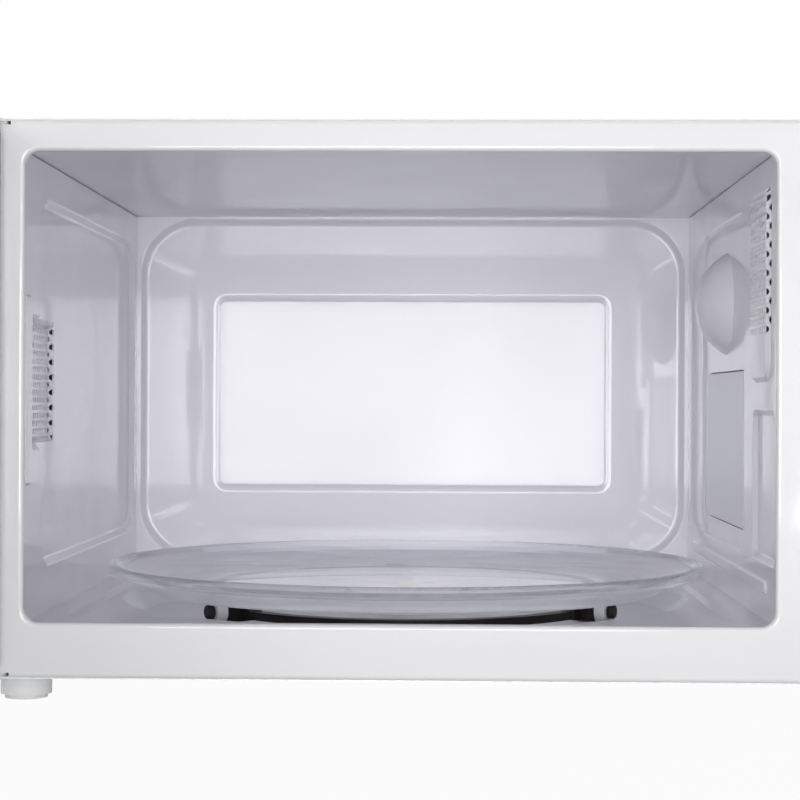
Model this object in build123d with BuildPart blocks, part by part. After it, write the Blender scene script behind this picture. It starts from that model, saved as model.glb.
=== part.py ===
from build123d import *
import math
import os

os.makedirs("parts", exist_ok=True)

# Freestanding microwave oven, in millimetres. X is to the right, Y goes into the oven, Z is up, and
# the origin is on the counter under the middle of the case.

# Body
body_width = 490.0
body_depth = 370.0
body_height = 255.0
foot_height = 13.0
sheet = 0.8
flange_depth = 12.0
case_setback = 4.0
case_bend = 3.0
slip = 0.3
panel_width = 99.0

# Opening and cavity
left_margin = 22.0
right_margin = 29.0
lower_margin = 26.0
upper_margin = 15.0
back_space = 36.0
opening_width = body_width - panel_width - left_margin - right_margin
opening_height = body_height - lower_margin - upper_margin
opening_radius = 6.5
cavity_depth = body_depth - back_space
collar_length = 4.0
edge_roll = 2.0
ceiling_seam = 0.4

# Turntable
plate_margin = 9.5
plate_diameter = min(cavity_depth, opening_width - 6.0) - 2 * plate_margin
plate_height = 15.0
plate_glass = 4.0
plate_slope_run = 23.5
plate_base_diameter = plate_diameter - 2 * plate_slope_run
track_radius = plate_diameter / 2 - 7.5
track_depth = 8.8
wheel_diameter = 12.4
wheel_width = 6.0
wheel_circle = track_radius - 37.0
ring_radius = wheel_circle - 13.0
ring_width = 7.0
ring_height = 4.0
motor_diameter = 49.0
motor_height = 14.0

# Floor
floor_pan_width = opening_width - 26.0
floor_pan_length = cavity_depth - 26.0
floor_pan_depth = 2.4
floor_pan_radius = 38.0

# Door and hinge
door_gap = 1.0
door_thickness = 35.0
door_wall = 2.5
door_open = 100.0
hinge_inset = 5.0
hinge_stand = 8.0
hinge_pin_diameter = 5.0
pin_clearance = 0.05
hinge_plate = 1.6
door_reveal = 0.4

# Controls
panel_gap = 1.5
panel_wall = 2.5
knob_diameter = 46.0
knob_height = 21.0
timer_knob_rise = 135.0
power_knob_rise = 205.0
shaft_diameter = 6.0
button_width = 66.0
button_height = 30.0
button_rise = 36.0
button_travel = 6.0

# Planes and edges of the body
left_x = -body_width / 2
right_x = body_width / 2
front_y = -body_depth / 2
back_y = body_depth / 2
base_z = foot_height
top_z = base_z + body_height
opening_left = left_x + left_margin
opening_right = opening_left + opening_width
opening_low = base_z + lower_margin
opening_high = opening_low + opening_height
cavity_x = (opening_left + opening_right) / 2
cavity_z = (opening_low + opening_high) / 2
wall_left = opening_left - sheet
wall_right = opening_right + sheet
floor_z = opening_low - sheet
ceiling_z = opening_high + sheet
wall_front = front_y + edge_roll + 0.1
wall_back = front_y + cavity_depth
turn_y = front_y + cavity_depth / 2
panel_left = right_x - panel_width
frame_left = left_x + sheet
frame_right = panel_left + 20.0
frame_low = base_z + sheet
frame_high = top_z - sheet
door_front = front_y - door_gap - door_thickness
door_back = front_y - door_gap
door_right = panel_left - panel_gap


def side_plane(x):
    """Plane of constant X: a sketch's x is the row's Y and its y is Z."""
    return Plane(origin=(x, 0, 0), x_dir=(0, 1, 0), z_dir=(1, 0, 0))


def front_plane(y):
    """Plane of constant Y that faces the viewer: a sketch's x is X and its y is Z."""
    return Plane(origin=(0, y, 0), x_dir=(1, 0, 0), z_dir=(0, -1, 0))


def level_plane(z):
    """Plane of constant Z."""
    return Plane.XY.offset(z)


def block(low, high, mode=Mode.ADD):
    """A box between two opposite corners, in the part that is being made."""
    size = [b - a for a, b in zip(low, high)]
    with Locations(tuple((a + b) / 2 for a, b in zip(low, high))):
        Box(*size, mode=mode)


def drum(plane, centre, radius, length, mode=Mode.ADD):
    """A cylinder from a plane along its normal, in the part that is being made."""
    with BuildSketch(plane) as outline:
        with Locations(centre):
            Circle(radius)
    extrude(outline.sketch, amount=length, mode=mode)


class Press:
    """A rounded rectangle pressed out of a sheet, with sloping sides.

    plane_at makes the plane of one coordinate, start is the face that is pushed in, and sign is +1
    or -1 along that coordinate. low and high are the rim's corners in the plane's own sketch, and
    slope is the angle of the sides to the sheet.
    """

    def __init__(self, plane_at, start, sign, low, high, radius, depth, slope=45.0):
        self.plane_at = plane_at
        self.start = start
        self.sign = sign
        self.low = low
        self.high = high
        self.radius = radius
        self.depth = depth
        self.slope = slope
        self.centre = ((low[0] + high[0]) / 2, (low[1] + high[1]) / 2)
        self.size = (high[0] - low[0], high[1] - low[1])
        self.facing = -1 if plane_at is front_plane else 1
        self.index = {side_plane: 0, front_plane: 1, level_plane: 2}[plane_at]
        self.far_growth = sheet * math.tan(math.radians(slope / 2))

    def cone(self, start, grow, mode):
        """The pressed shape as a solid with sloping sides, from a face inwards."""
        with BuildSketch(self.plane_at(start)) as rim:
            with Locations(self.centre):
                RectangleRounded(self.size[0] + 2 * grow, self.size[1] + 2 * grow, self.radius + grow)
        length = self.facing * self.sign * self.depth
        extrude(rim.sketch, amount=length, taper=90 - self.slope, mode=mode)

    def swell(self):
        """The metal that stands out on the far side."""
        self.cone(self.start + self.sign * sheet, self.far_growth, Mode.ADD)

    def sink(self):
        """The hollow on the near side."""
        self.cone(self.start, 0, Mode.SUBTRACT)

    def round_fold(self, part, level, radius):
        """Round the fold of the pressed outline that lies at one coordinate."""
        fold = []
        for edge in part.edges():
            spots = [tuple(edge.position_at(t)) for t in (0, 0.5, 1)]
            flat = [[v for i, v in enumerate(spot) if i != self.index] for spot in spots]
            inside = all(
                low - 1 < v < high + 1
                for spot in flat
                for low, v, high in zip(self.low, spot, self.high)
            )
            if inside and all(abs(spot[self.index] - level) < 0.01 for spot in spots):
                fold.append(edge)
        fillet(fold, radius)


def slots(plane, centre, columns, rows, pitch, length, width, depth, turn=0):
    """A field of vent slots cut through the part that is being made."""
    with BuildSketch(plane) as field:
        with Locations(centre):
            with GridLocations(pitch[0], pitch[1], columns, rows):
                SlotOverall(length, width, rotation=turn)
    extrude(field.sketch, amount=depth, both=True, mode=Mode.SUBTRACT)


# Front frame: one pressed plate with flanges, the rolled opening, two latch slots and two hinge slots.
latch_x = panel_left - 9.5
latch_thickness = 5.0
latch_rises = (67.0, 177.0)
latch_slot_side = 1.7
latch_slot_low = 10.0
latch_slot_high = 16.0
hinge_x = left_x + hinge_inset
hinge_y = front_y - hinge_stand
hinge_plate_width = 13.0
door_low = frame_low + sheet + hinge_plate + door_reveal
door_high = frame_high - sheet - hinge_plate - door_reveal
hinge_slot_width = hinge_plate_width + 1.0
hinge_slot_x = frame_left + sheet + hinge_slot_width / 2
hook_z = [base_z + rise for rise in latch_rises]

with BuildPart() as front_frame:
    block((frame_left, front_y, frame_low), (frame_right, front_y + flange_depth, frame_high))
    top_left = front_frame.edges().filter_by(Axis.Y).filter_by_position(Axis.X, frame_left, cavity_x)
    fillet(top_left.sort_by(Axis.Z)[-1], case_bend - sheet)
    outline = [
        e
        for e in front_frame.edges()
        if abs(e.center().Y - front_y) < 0.01 and e.center().X < frame_right - 1
    ]
    fillet(outline, edge_roll)
    with BuildSketch(front_plane(front_y + sheet)):
        with BuildLine():
            Polyline(
                (frame_right + 1, frame_low + sheet),
                (frame_left + sheet, frame_low + sheet),
                (frame_left + sheet, frame_high - case_bend + sheet),
            )
            RadiusArc(
                (frame_left + sheet, frame_high - case_bend + sheet),
                (frame_left + case_bend - sheet, frame_high - sheet),
                case_bend - 2 * sheet,
            )
            Polyline(
                (frame_left + case_bend - sheet, frame_high - sheet),
                (frame_right + 1, frame_high - sheet),
                (frame_right + 1, frame_low + sheet),
            )
        make_face()
    extrude(amount=-flange_depth, mode=Mode.SUBTRACT)
    with BuildSketch(front_plane(front_y + sheet)):
        with Locations((cavity_x, cavity_z)):
            RectangleRounded(
                opening_width + 2 * sheet, opening_height + 2 * sheet, opening_radius + sheet
            )
    extrude(amount=-(collar_length - sheet))
    inner_bend = [
        e
        for e in front_frame.edges()
        if abs(e.center().Y - front_y - sheet) < 0.01
        and opening_left - 2 < e.center().X < opening_right + 2
        and opening_low - 2 < e.center().Z < opening_high + 2
    ]
    fillet(inner_bend, edge_roll - sheet)
    with BuildSketch(front_plane(front_y - 1)):
        with Locations((cavity_x, cavity_z)):
            RectangleRounded(opening_width, opening_height, opening_radius)
    extrude(amount=-(collar_length + 2), mode=Mode.SUBTRACT)
    rolled = [
        e
        for e in front_frame.edges()
        if abs(e.center().Y - front_y) < 0.01
        and opening_left - 1 < e.center().X < opening_right + 1
        and opening_low - 1 < e.center().Z < opening_high + 1
    ]
    fillet(rolled, edge_roll)
    for z in hook_z:
        block(
            (latch_x - latch_thickness / 2 - latch_slot_side, front_y - 1, z - latch_slot_low),
            (latch_x + latch_thickness / 2 + latch_slot_side, front_y + 2, z + latch_slot_high),
            Mode.SUBTRACT,
        )
    for z in (door_low - door_reveal - hinge_plate, door_high + door_reveal):
        block(
            (hinge_slot_x - hinge_slot_width / 2, front_y - 1, z),
            (hinge_slot_x + hinge_slot_width / 2, front_y + sheet + 0.1, z + hinge_plate),
            Mode.SUBTRACT,
        )

# Cavity walls: pressed sheets whose hollows face the cavity.
left_recess = Press(
    side_plane,
    wall_left,
    -1,
    (front_y + 40.0, opening_low + 21.0),
    (wall_back - 10.0, opening_high - 16.5),
    22.0,
    3.0,
)
left_pocket = Press(
    side_plane,
    wall_left,
    -1,
    (front_y + 19.3, opening_low + 77.5),
    (front_y + 89.7, opening_low + 141.0),
    7.0,
    5.2,
)
left_pad = Press(
    side_plane,
    wall_left - sheet,
    1,
    (front_y + 4.9, opening_low + 62.0),
    (front_y + 18.6, opening_low + 149.0),
    3.0,
    1.0,
)
left_hole = 3.0
left_hole_pitch = 4.16
left_hole_row = 3.75
left_hole_columns = 15
left_hole_rows = 8
left_last_hole = left_pocket.high[0] - left_recess.depth - 0.4
left_low_hole = left_pocket.low[1] + 4.6
field_y = left_last_hole - (left_hole_columns - 1) * left_hole_pitch / 2
field_z = left_low_hole + (left_hole_rows - 1) * left_hole_row

with BuildPart() as cavity_left_wall:
    block((wall_left - sheet, wall_front, floor_z), (wall_left, wall_back, ceiling_z - ceiling_seam))
    left_recess.swell()
    left_pocket.swell()
    left_pad.swell()
    left_recess.sink()
    left_recess.round_fold(cavity_left_wall, wall_left, 1.6)
    left_recess.round_fold(cavity_left_wall, wall_left - left_recess.depth, 2.4)
    left_pocket.sink()
    left_pad.sink()
    with BuildSketch(side_plane(wall_left)):
        with Locations((field_y, field_z)):
            with GridLocations(left_hole_pitch, 2 * left_hole_row, left_hole_columns, left_hole_rows):
                Circle(left_hole / 2)
        with Locations((field_y - left_hole_pitch / 2, field_z + left_hole_row)):
            with GridLocations(left_hole_pitch, 2 * left_hole_row, left_hole_columns, left_hole_rows):
                Circle(left_hole / 2)
    extrude(amount=-12, mode=Mode.SUBTRACT)

# Right wall: the vent boss and the dome stand into the cavity, the other presses stand out of it.
waveguide_recess = Press(
    side_plane,
    wall_right,
    1,
    (front_y + 104.0, opening_low + 25.0),
    (wall_back - 69.0, opening_high - 16.5),
    14.0,
    1.5,
)
front_recess = Press(
    side_plane,
    wall_right,
    1,
    (front_y + 9.0, opening_low + 26.0),
    (front_y + 75.5, opening_low + 97.5),
    7.0,
    2.5,
)
vent_boss = Press(
    side_plane,
    wall_right + sheet,
    -1,
    (front_y + 22.7, opening_low + 111.0),
    (front_y + 73.0, opening_high - 12.5),
    9.0,
    2.2,
)
floor_bead = Press(
    side_plane,
    wall_right + sheet,
    -1,
    (front_y + 31.0, opening_low + 11.9),
    (wall_back - 30.0, opening_low + 17.7),
    2.7,
    1.1,
)
right_hole = 3.5
right_hole_pitch = 5.0
right_hole_row = 4.33
right_hole_columns = 10
right_hole_rows = 8
right_first_hole = vent_boss.low[0] - 0.4
right_low_hole = vent_boss.high[1] - 66.5
dome_y = turn_y + 11.0
dome_z = opening_high - 60.0
dome_radius = 27.4
dome_height = 17.0
recess_face = wall_right + waveguide_recess.depth

# Mica sheet over the waveguide's mouth, with a large round corner at its lower rear. The mouth is a
# little taller than the sheet, so a dark gap shows along the sheet's upper and lower edges.
mica_thickness = 0.5
mica_low = (turn_y - 58.0, opening_low + 37.0)
mica_high = (turn_y + 91.0, opening_low + 117.0)
mica_corner = 14.0
mouth_gap = 0.7
mouth_low = (turn_y - 52.0, mica_low[1] - mouth_gap)
mouth_high = (turn_y + 74.0, mica_high[1] + mouth_gap)

with BuildPart() as cavity_right_wall:
    block((wall_right, wall_front, floor_z), (wall_right + sheet, wall_back, ceiling_z - ceiling_seam))
    for press in (waveguide_recess, front_recess, vent_boss, floor_bead):
        press.swell()
    for press in (waveguide_recess, front_recess, vent_boss, floor_bead):
        press.sink()
    waveguide_recess.round_fold(cavity_right_wall, wall_right, 1.0)
    front_recess.round_fold(cavity_right_wall, wall_right, 1.2)
    front_recess.round_fold(cavity_right_wall, wall_right + front_recess.depth, 1.2)
    vent_boss.round_fold(cavity_right_wall, wall_right - vent_boss.depth, 1.0)
    dome_sphere = (dome_radius**2 + dome_height**2) / (2 * dome_height)
    dome_middle = recess_face - dome_height + dome_sphere
    with Locations((dome_middle, dome_y, dome_z)):
        Sphere(dome_sphere)
    block(
        (recess_face + sheet, dome_y - dome_sphere, dome_z - dome_sphere),
        (recess_face + 2 * dome_sphere, dome_y + dome_sphere, dome_z + dome_sphere),
        Mode.SUBTRACT,
    )
    with Locations((dome_middle, dome_y, dome_z)):
        Sphere(dome_sphere - sheet, mode=Mode.SUBTRACT)
    block((wall_right - 1, *mouth_low), (wall_right + 5, *mouth_high), Mode.SUBTRACT)
    field_y = right_first_hole + (right_hole_columns - 1) * right_hole_pitch / 2
    field_z = right_low_hole + (right_hole_rows - 1) * right_hole_row
    with BuildSketch(side_plane(wall_right)):
        with Locations((field_y + right_hole_pitch / 2, field_z)):
            with GridLocations(right_hole_pitch, 2 * right_hole_row, right_hole_columns, right_hole_rows):
                Circle(right_hole / 2)
        with Locations((field_y, field_z + right_hole_row)):
            with GridLocations(right_hole_pitch, 2 * right_hole_row, right_hole_columns, right_hole_rows):
                Circle(right_hole / 2)
    extrude(amount=8, both=True, mode=Mode.SUBTRACT)


# Floor: a shallow square pan with the roller track sunk into its middle, and the motor shaft's hole.
pan_z = floor_z - floor_pan_depth
track_z = pan_z - track_depth
coupler_neck = 6.0
turn_centre = (cavity_x, turn_y)
floor_pan = Press(
    level_plane,
    floor_z,
    -1,
    (cavity_x - floor_pan_width / 2, turn_y - floor_pan_length / 2),
    (cavity_x + floor_pan_width / 2, turn_y + floor_pan_length / 2),
    floor_pan_radius,
    floor_pan_depth,
)
bend_growth = sheet * (math.sqrt(2) - 1)

with BuildPart() as cavity_floor:
    block((wall_left - sheet, wall_front, floor_z - sheet), (wall_right + sheet, wall_back, floor_z))
    floor_pan.swell()
    with BuildSketch(level_plane(pan_z - sheet)):
        with Locations(turn_centre):
            Circle(track_radius + bend_growth)
    extrude(amount=-track_depth, taper=45)
    floor_pan.sink()
    with BuildSketch(level_plane(pan_z)):
        with Locations(turn_centre):
            Circle(track_radius)
    extrude(amount=-track_depth, taper=45, mode=Mode.SUBTRACT)
    floor_pan.round_fold(cavity_floor, floor_z, 1.6)
    drum(level_plane(track_z - 2), turn_centre, coupler_neck + 0.8, 4, Mode.SUBTRACT)

with BuildPart() as cavity_ceiling:
    block((wall_left - sheet, wall_front, ceiling_z), (wall_right + sheet, wall_back, ceiling_z + sheet))

# Back panel: a wide shallow dish with round corners, and a flat rectangle sunk a little into it.
back_dish = Press(
    front_plane,
    wall_back,
    1,
    (cavity_x - opening_width / 2 + 1.4, opening_low + 2.6),
    (cavity_x + opening_width / 2 - 1.4, opening_high - 0.6),
    34.0,
    3.4,
)
dish_y = wall_back + back_dish.depth
panel_centre_z = opening_low + 105.75
back_window = Press(
    front_plane,
    dish_y,
    1,
    (cavity_x - 121.8, panel_centre_z - 59.65),
    (cavity_x + 121.8, panel_centre_z + 59.65),
    6.5,
    1.0,
    20.0,
)

with BuildPart() as cavity_back_panel:
    block(
        (wall_left - sheet, wall_back, floor_z - sheet),
        (wall_right + sheet, wall_back + sheet, ceiling_z + sheet),
    )
    back_dish.swell()
    back_window.swell()
    back_dish.sink()
    back_window.sink()
    back_window.round_fold(cavity_back_panel, dish_y, 11.0)
    back_window.round_fold(cavity_back_panel, dish_y + back_window.depth, 2.5)
    back_dish.round_fold(cavity_back_panel, wall_back, 1.2)
    back_dish.round_fold(cavity_back_panel, dish_y, 3.6)

with BuildPart() as waveguide_cover:
    with BuildSketch(side_plane(recess_face - mica_thickness)):
        with BuildLine():
            Polyline(
                (mica_high[0] - mica_corner, mica_low[1]),
                mica_low,
                (mica_low[0], mica_high[1]),
                mica_high,
                (mica_high[0], mica_low[1] + mica_corner),
            )
            RadiusArc(
                (mica_high[0], mica_low[1] + mica_corner),
                (mica_high[0] - mica_corner, mica_low[1]),
                mica_corner,
            )
        make_face()
    extrude(amount=mica_thickness)

# Base plate with a stamped well under the motor and vents under the machine space.
well_radius = 34.0
well_depth = 4.0
plate_front = front_y + case_setback
plate_back = back_y - 1.4
inner_left = left_x + sheet
inner_right = right_x - sheet
inner_high = top_z - sheet
machine_x = (wall_right + inner_right) / 2

with BuildPart() as base_plate:
    block((inner_left, plate_front, base_z), (inner_right, plate_back, base_z + sheet))
    with BuildSketch(level_plane(base_z)):
        with Locations(turn_centre):
            Circle(well_radius + bend_growth)
    extrude(amount=-well_depth, taper=45)
    with BuildSketch(level_plane(base_z + sheet)):
        with Locations(turn_centre):
            Circle(well_radius)
    extrude(amount=-well_depth, taper=45, mode=Mode.SUBTRACT)
    slots(level_plane(base_z), (machine_x, 78.0), 6, 3, (12.0, 26.0), 22.0, 4.0, 3.0, 90)

# Outer case: one sheet bent over the top and both sides, with vents and screw holes.
screw_radius = 1.75
screw_y = back_y - 6.0
screw_rises = (50.0, 195.0)
side_vent_y = back_y - 89.0
side_vent_z = top_z - 77.0

with BuildPart() as outer_case:
    block((left_x, plate_front, base_z), (right_x, back_y, top_z))
    long_top = [
        e
        for e in outer_case.edges().filter_by(Axis.Y)
        if abs(e.center().Z - top_z) < 0.01
    ]
    fillet(long_top, case_bend)
    with BuildSketch(front_plane(plate_front - 1)):
        with Locations((0, (base_z + inner_high) / 2 - case_bend)):
            RectangleRounded(
                inner_right - inner_left, inner_high - base_z + 2 * case_bend, case_bend - sheet
            )
    extrude(amount=-(body_depth + 2), mode=Mode.SUBTRACT)
    for x in (left_x, right_x):
        slots(side_plane(x), (side_vent_y, side_vent_z), 9, 4, (14.0, 9.0), 9.0, 3.2, 3.0)
        for rise in screw_rises:
            drum(side_plane(x - 2), (screw_y, base_z + rise), screw_radius + 0.1, 4, Mode.SUBTRACT)

# Back plate: closes the case from inside, with side flanges, the fan's grille and the cord's hole.
back_flange = 11.0
fan_x = right_x - 63.0
fan_z = base_z + 177.0
fan_radius = 51.0
gland_x = right_x - 95.0
gland_z = base_z + 95.0
gland_hole = 8.0
grille_rings = ((16.0, 8), (28.0, 14), (40.0, 20))
case_hollow = (inner_right - inner_left, inner_high - base_z + 2 * case_bend)
case_middle = (0, (base_z + inner_high) / 2 - case_bend)

with BuildPart() as back_plate:
    with BuildSketch(front_plane(plate_back)) as plate_outline:
        with Locations(case_middle):
            RectangleRounded(*case_hollow, case_bend - sheet)
    extrude(plate_outline.sketch, amount=back_flange - sheet)
    extrude(plate_outline.sketch, amount=-sheet)
    with BuildSketch(front_plane(plate_back)) as flange_hollow:
        with Locations(case_middle):
            RectangleRounded(
                case_hollow[0] - 2 * sheet, case_hollow[1] - 2 * sheet, case_bend - 2 * sheet
            )
    extrude(flange_hollow.sketch, amount=back_flange + 1, mode=Mode.SUBTRACT)
    block(
        (left_x - 1, plate_back - 40, -60),
        (right_x + 1, plate_back + 10, base_z + sheet),
        Mode.SUBTRACT,
    )
    with BuildSketch(front_plane(plate_back)) as grille:
        with Locations((fan_x, fan_z)):
            for ring, count in grille_rings:
                with PolarLocations(ring, count):
                    SlotOverall(8.5, 3.6)
            Circle(4.0)
    extrude(grille.sketch, amount=-3, mode=Mode.SUBTRACT)
    slots(front_plane(plate_back), (cavity_x, top_z - 50.0), 14, 2, (11.0, 26.0), 20.0, 4.0, 3.0, 90)
    drum(front_plane(plate_back + 2), (gland_x, gland_z), gland_hole, 4, Mode.SUBTRACT)
    for x in (left_x, right_x):
        for rise in screw_rises:
            drum(side_plane(x - 4), (screw_y, base_z + rise), screw_radius + 0.1, 8, Mode.SUBTRACT)

foot_radius = 12.0
foot_x = body_width / 2 - 16.0
foot_y = body_depth / 2 - 37.0

with BuildPart() as feet:
    with BuildSketch(Plane.XY):
        with GridLocations(2 * foot_x, 2 * foot_y, 2, 2):
            Circle(foot_radius - 2)
    extrude(amount=foot_height)
    with BuildSketch(level_plane(2)):
        with GridLocations(2 * foot_x, 2 * foot_y, 2, 2):
            Circle(foot_radius)
    extrude(amount=foot_height - 2)

screw_head = 4.0
screw_head_height = 2.2
screw_length = 6.0

with BuildPart() as body_screws:
    for side in (-1, 1):
        for rise in screw_rises:
            place = (screw_y, base_z + rise)
            start = side * body_width / 2
            drum(side_plane(start), place, screw_head, side * screw_head_height)
            drum(side_plane(start), place, screw_radius, -side * screw_length)
            with BuildSketch(side_plane(start + side * screw_head_height)):
                with Locations(place):
                    Rectangle(4.6, 1.1)
                    Rectangle(1.1, 4.6)
            extrude(amount=-side * 1.3, mode=Mode.SUBTRACT)

# Cord gland, empty: two collars with the plate between them, and the cord's bore.
gland_outer = 12.0
gland_bore = 4.2
gland_front = plate_back - 4.0
gland_back = plate_back + sheet + 5.0

with BuildPart() as cord_gland:
    drum(front_plane(gland_back), (gland_x, gland_z), gland_outer, gland_back - plate_back - sheet)
    drum(front_plane(plate_back + sheet), (gland_x, gland_z), gland_hole - 0.02, sheet)
    drum(front_plane(plate_back), (gland_x, gland_z), gland_outer - 2, plate_back - gland_front)
    drum(front_plane(gland_back + 1), (gland_x, gland_z), gland_bore, 20, Mode.SUBTRACT)
    rims = cord_gland.edges().filter_by(GeomType.CIRCLE).filter_by_position(
        Axis.Y, gland_back - 0.01, gland_back + 0.01
    )
    fillet(rims.sort_by(SortBy.RADIUS)[-1], 1.2)

# Turntable: motor, coupler, roller ring with three wheels, and the glass plate.
motor_top = track_z - sheet
ear_thickness = 1.0

with BuildPart() as turntable_motor:
    drum(level_plane(motor_top - motor_height), turn_centre, motor_diameter / 2, motor_height)
    with BuildSketch(level_plane(motor_top - ear_thickness)):
        with Locations(turn_centre):
            SlotOverall(motor_diameter + 18, 12)
    extrude(amount=ear_thickness)
    drum(level_plane(motor_top - motor_height + 3), turn_centre, 3.05, motor_height, Mode.SUBTRACT)

wheel_z = track_z + slip + wheel_diameter / 2
plate_z = wheel_z + wheel_diameter / 2 + slip
coupler_arm = 19.0
coupler_arm_width = 8.0
coupler_arm_height = 6.0
ring_angles = (-145.6, -25.6, 94.4)
arm_angles = (-90.0, 30.0, 150.0)

with BuildPart() as turntable_coupler:
    drum(level_plane(motor_top - motor_height + 3.5), turn_centre, 3.0, 12)
    drum(level_plane(motor_top + slip), turn_centre, coupler_neck, plate_z - motor_top - slip)
    for angle in arm_angles:
        with BuildSketch(level_plane(plate_z - coupler_arm_height)):
            with Locations(Location((cavity_x, turn_y, 0), (0, 0, angle))):
                with Locations((coupler_arm / 2, 0)):
                    SlotOverall(coupler_arm + coupler_arm_width, coupler_arm_width)
        extrude(amount=coupler_arm_height)

turn_plane = Plane(origin=(cavity_x, turn_y, 0), x_dir=(1, 0, 0), z_dir=(0, -1, 0))
turn_axis = Axis((cavity_x, turn_y, 0), (0, 0, 1))
rim_radius = plate_diameter / 2
rim_z = plate_z + plate_height
rim_band = 4.6
rim_width = 3.4
nub_radius = 3.0
nub_height = 3.0
nub_circle = 15.5

with BuildPart() as glass_plate:
    with BuildSketch(turn_plane):
        with BuildLine():
            Polyline(
                (0, plate_z),
                (plate_base_diameter / 2, plate_z),
                (rim_radius - 1.2, rim_z - rim_band - 1.6),
                (rim_radius, rim_z - rim_band),
                (rim_radius, rim_z),
                (rim_radius - rim_width, rim_z),
                (rim_radius - rim_width - 2.4, rim_z - 3.2),
                (plate_base_diameter / 2 - 1.5, plate_z + plate_glass),
                (0, plate_z + plate_glass),
                close=True,
            )
        make_face()
    revolve(axis=turn_axis)
    top = [e for e in glass_plate.edges() if abs(e.center().Z - rim_z) < 0.01]
    fillet(top, 1.4)
    for angle in arm_angles:
        half_way = math.radians(angle + 60)
        spot = (
            cavity_x + nub_circle * math.cos(half_way),
            turn_y + nub_circle * math.sin(half_way),
        )
        drum(level_plane(plate_z - nub_height), spot, nub_radius, nub_height)

ring_z = wheel_z - 3.4
pod_width = 12.0
pod_foot = 34.0
pod_height = 8.4
pod_drop = 1.6
axle_radius = 1.6
cap_radius = 3.8
cap_height = 3.2
wheel_inner = wheel_circle - wheel_width / 2
wheel_outer = wheel_circle + wheel_width / 2


def radial_plane(angle, radius):
    """Plane square to the radius at an angle round the turntable: x is along the circle, y is up."""
    a = math.radians(angle)
    return Plane(
        origin=(cavity_x + radius * math.cos(a), turn_y + radius * math.sin(a), 0),
        x_dir=(-math.sin(a), math.cos(a), 0),
        z_dir=(math.cos(a), math.sin(a), 0),
    )


with BuildPart() as roller_ring:
    with BuildSketch(level_plane(ring_z)):
        with Locations(turn_centre):
            Circle(ring_radius + ring_width / 2)
            Circle(ring_radius - ring_width / 2, mode=Mode.SUBTRACT)
    extrude(amount=ring_height)
    for angle in ring_angles:
        inner = ring_radius - ring_width / 2
        with BuildSketch(radial_plane(angle, inner)):
            with BuildLine():
                Polyline(
                    (-pod_foot / 2, ring_z),
                    (-pod_width / 2, ring_z - pod_drop),
                    (pod_width / 2, ring_z - pod_drop),
                    (pod_foot / 2, ring_z),
                    (pod_foot / 2, ring_z + ring_height),
                    (pod_width / 2, ring_z + pod_height),
                    (-pod_width / 2, ring_z + pod_height),
                    (-pod_foot / 2, ring_z + ring_height),
                    close=True,
                )
            make_face()
        extrude(amount=ring_width)
        with BuildSketch(radial_plane(angle, inner)):
            with Locations((0, ring_z + (pod_height - pod_drop) / 2)):
                Rectangle(pod_width, pod_height + pod_drop)
        extrude(amount=wheel_inner - slip - inner)
        drum(radial_plane(angle, inner), (0, wheel_z), axle_radius, wheel_outer + slip - inner + 1)
        drum(radial_plane(angle, wheel_outer + slip), (0, wheel_z), cap_radius, cap_height)
    cap_end = wheel_outer + slip + cap_height
    caps = [
        e
        for e in roller_ring.edges().filter_by(GeomType.CIRCLE)
        if abs(math.dist((e.arc_center.X, e.arc_center.Y), turn_centre) - cap_end) < 0.05
    ]
    fillet(caps, 1.2)

roller_wheels = []
for number, angle in enumerate(ring_angles, 1):
    with BuildPart() as roller_wheel:
        drum(radial_plane(angle, wheel_inner), (0, wheel_z), wheel_diameter / 2, wheel_width)
        rims = roller_wheel.edges().filter_by(GeomType.CIRCLE)
        fillet(rims, 0.6)
        wheel_hub = radial_plane(angle, wheel_inner - 1)
        drum(wheel_hub, (0, wheel_z), axle_radius + 0.06, wheel_width + 2, Mode.SUBTRACT)
    roller_wheels.append(("roller_wheel_" + str(number), roller_wheel))

# Door, drawn shut and swung open about its hinge at the end.
door_side = left_x
door_panel_y = door_back - 4.0
window_low = (-203.0, 58.0)
window_high = (98.0, 226.0)
boss_width = 11.0
boss_length = 14.0
latch_bar_y = door_back - 20.0
latch_bar_depth = 10.0
latch_bar_low = hook_z[0] - 12.0
latch_bar_high = hook_z[1] + 13.0
hook_height = 10.0
hook_tip = front_y + 22.0
barb_length = 5.5
barb_depth = 3.4
latch_travel = 3.6
latch_spring_length = 24.0

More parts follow.
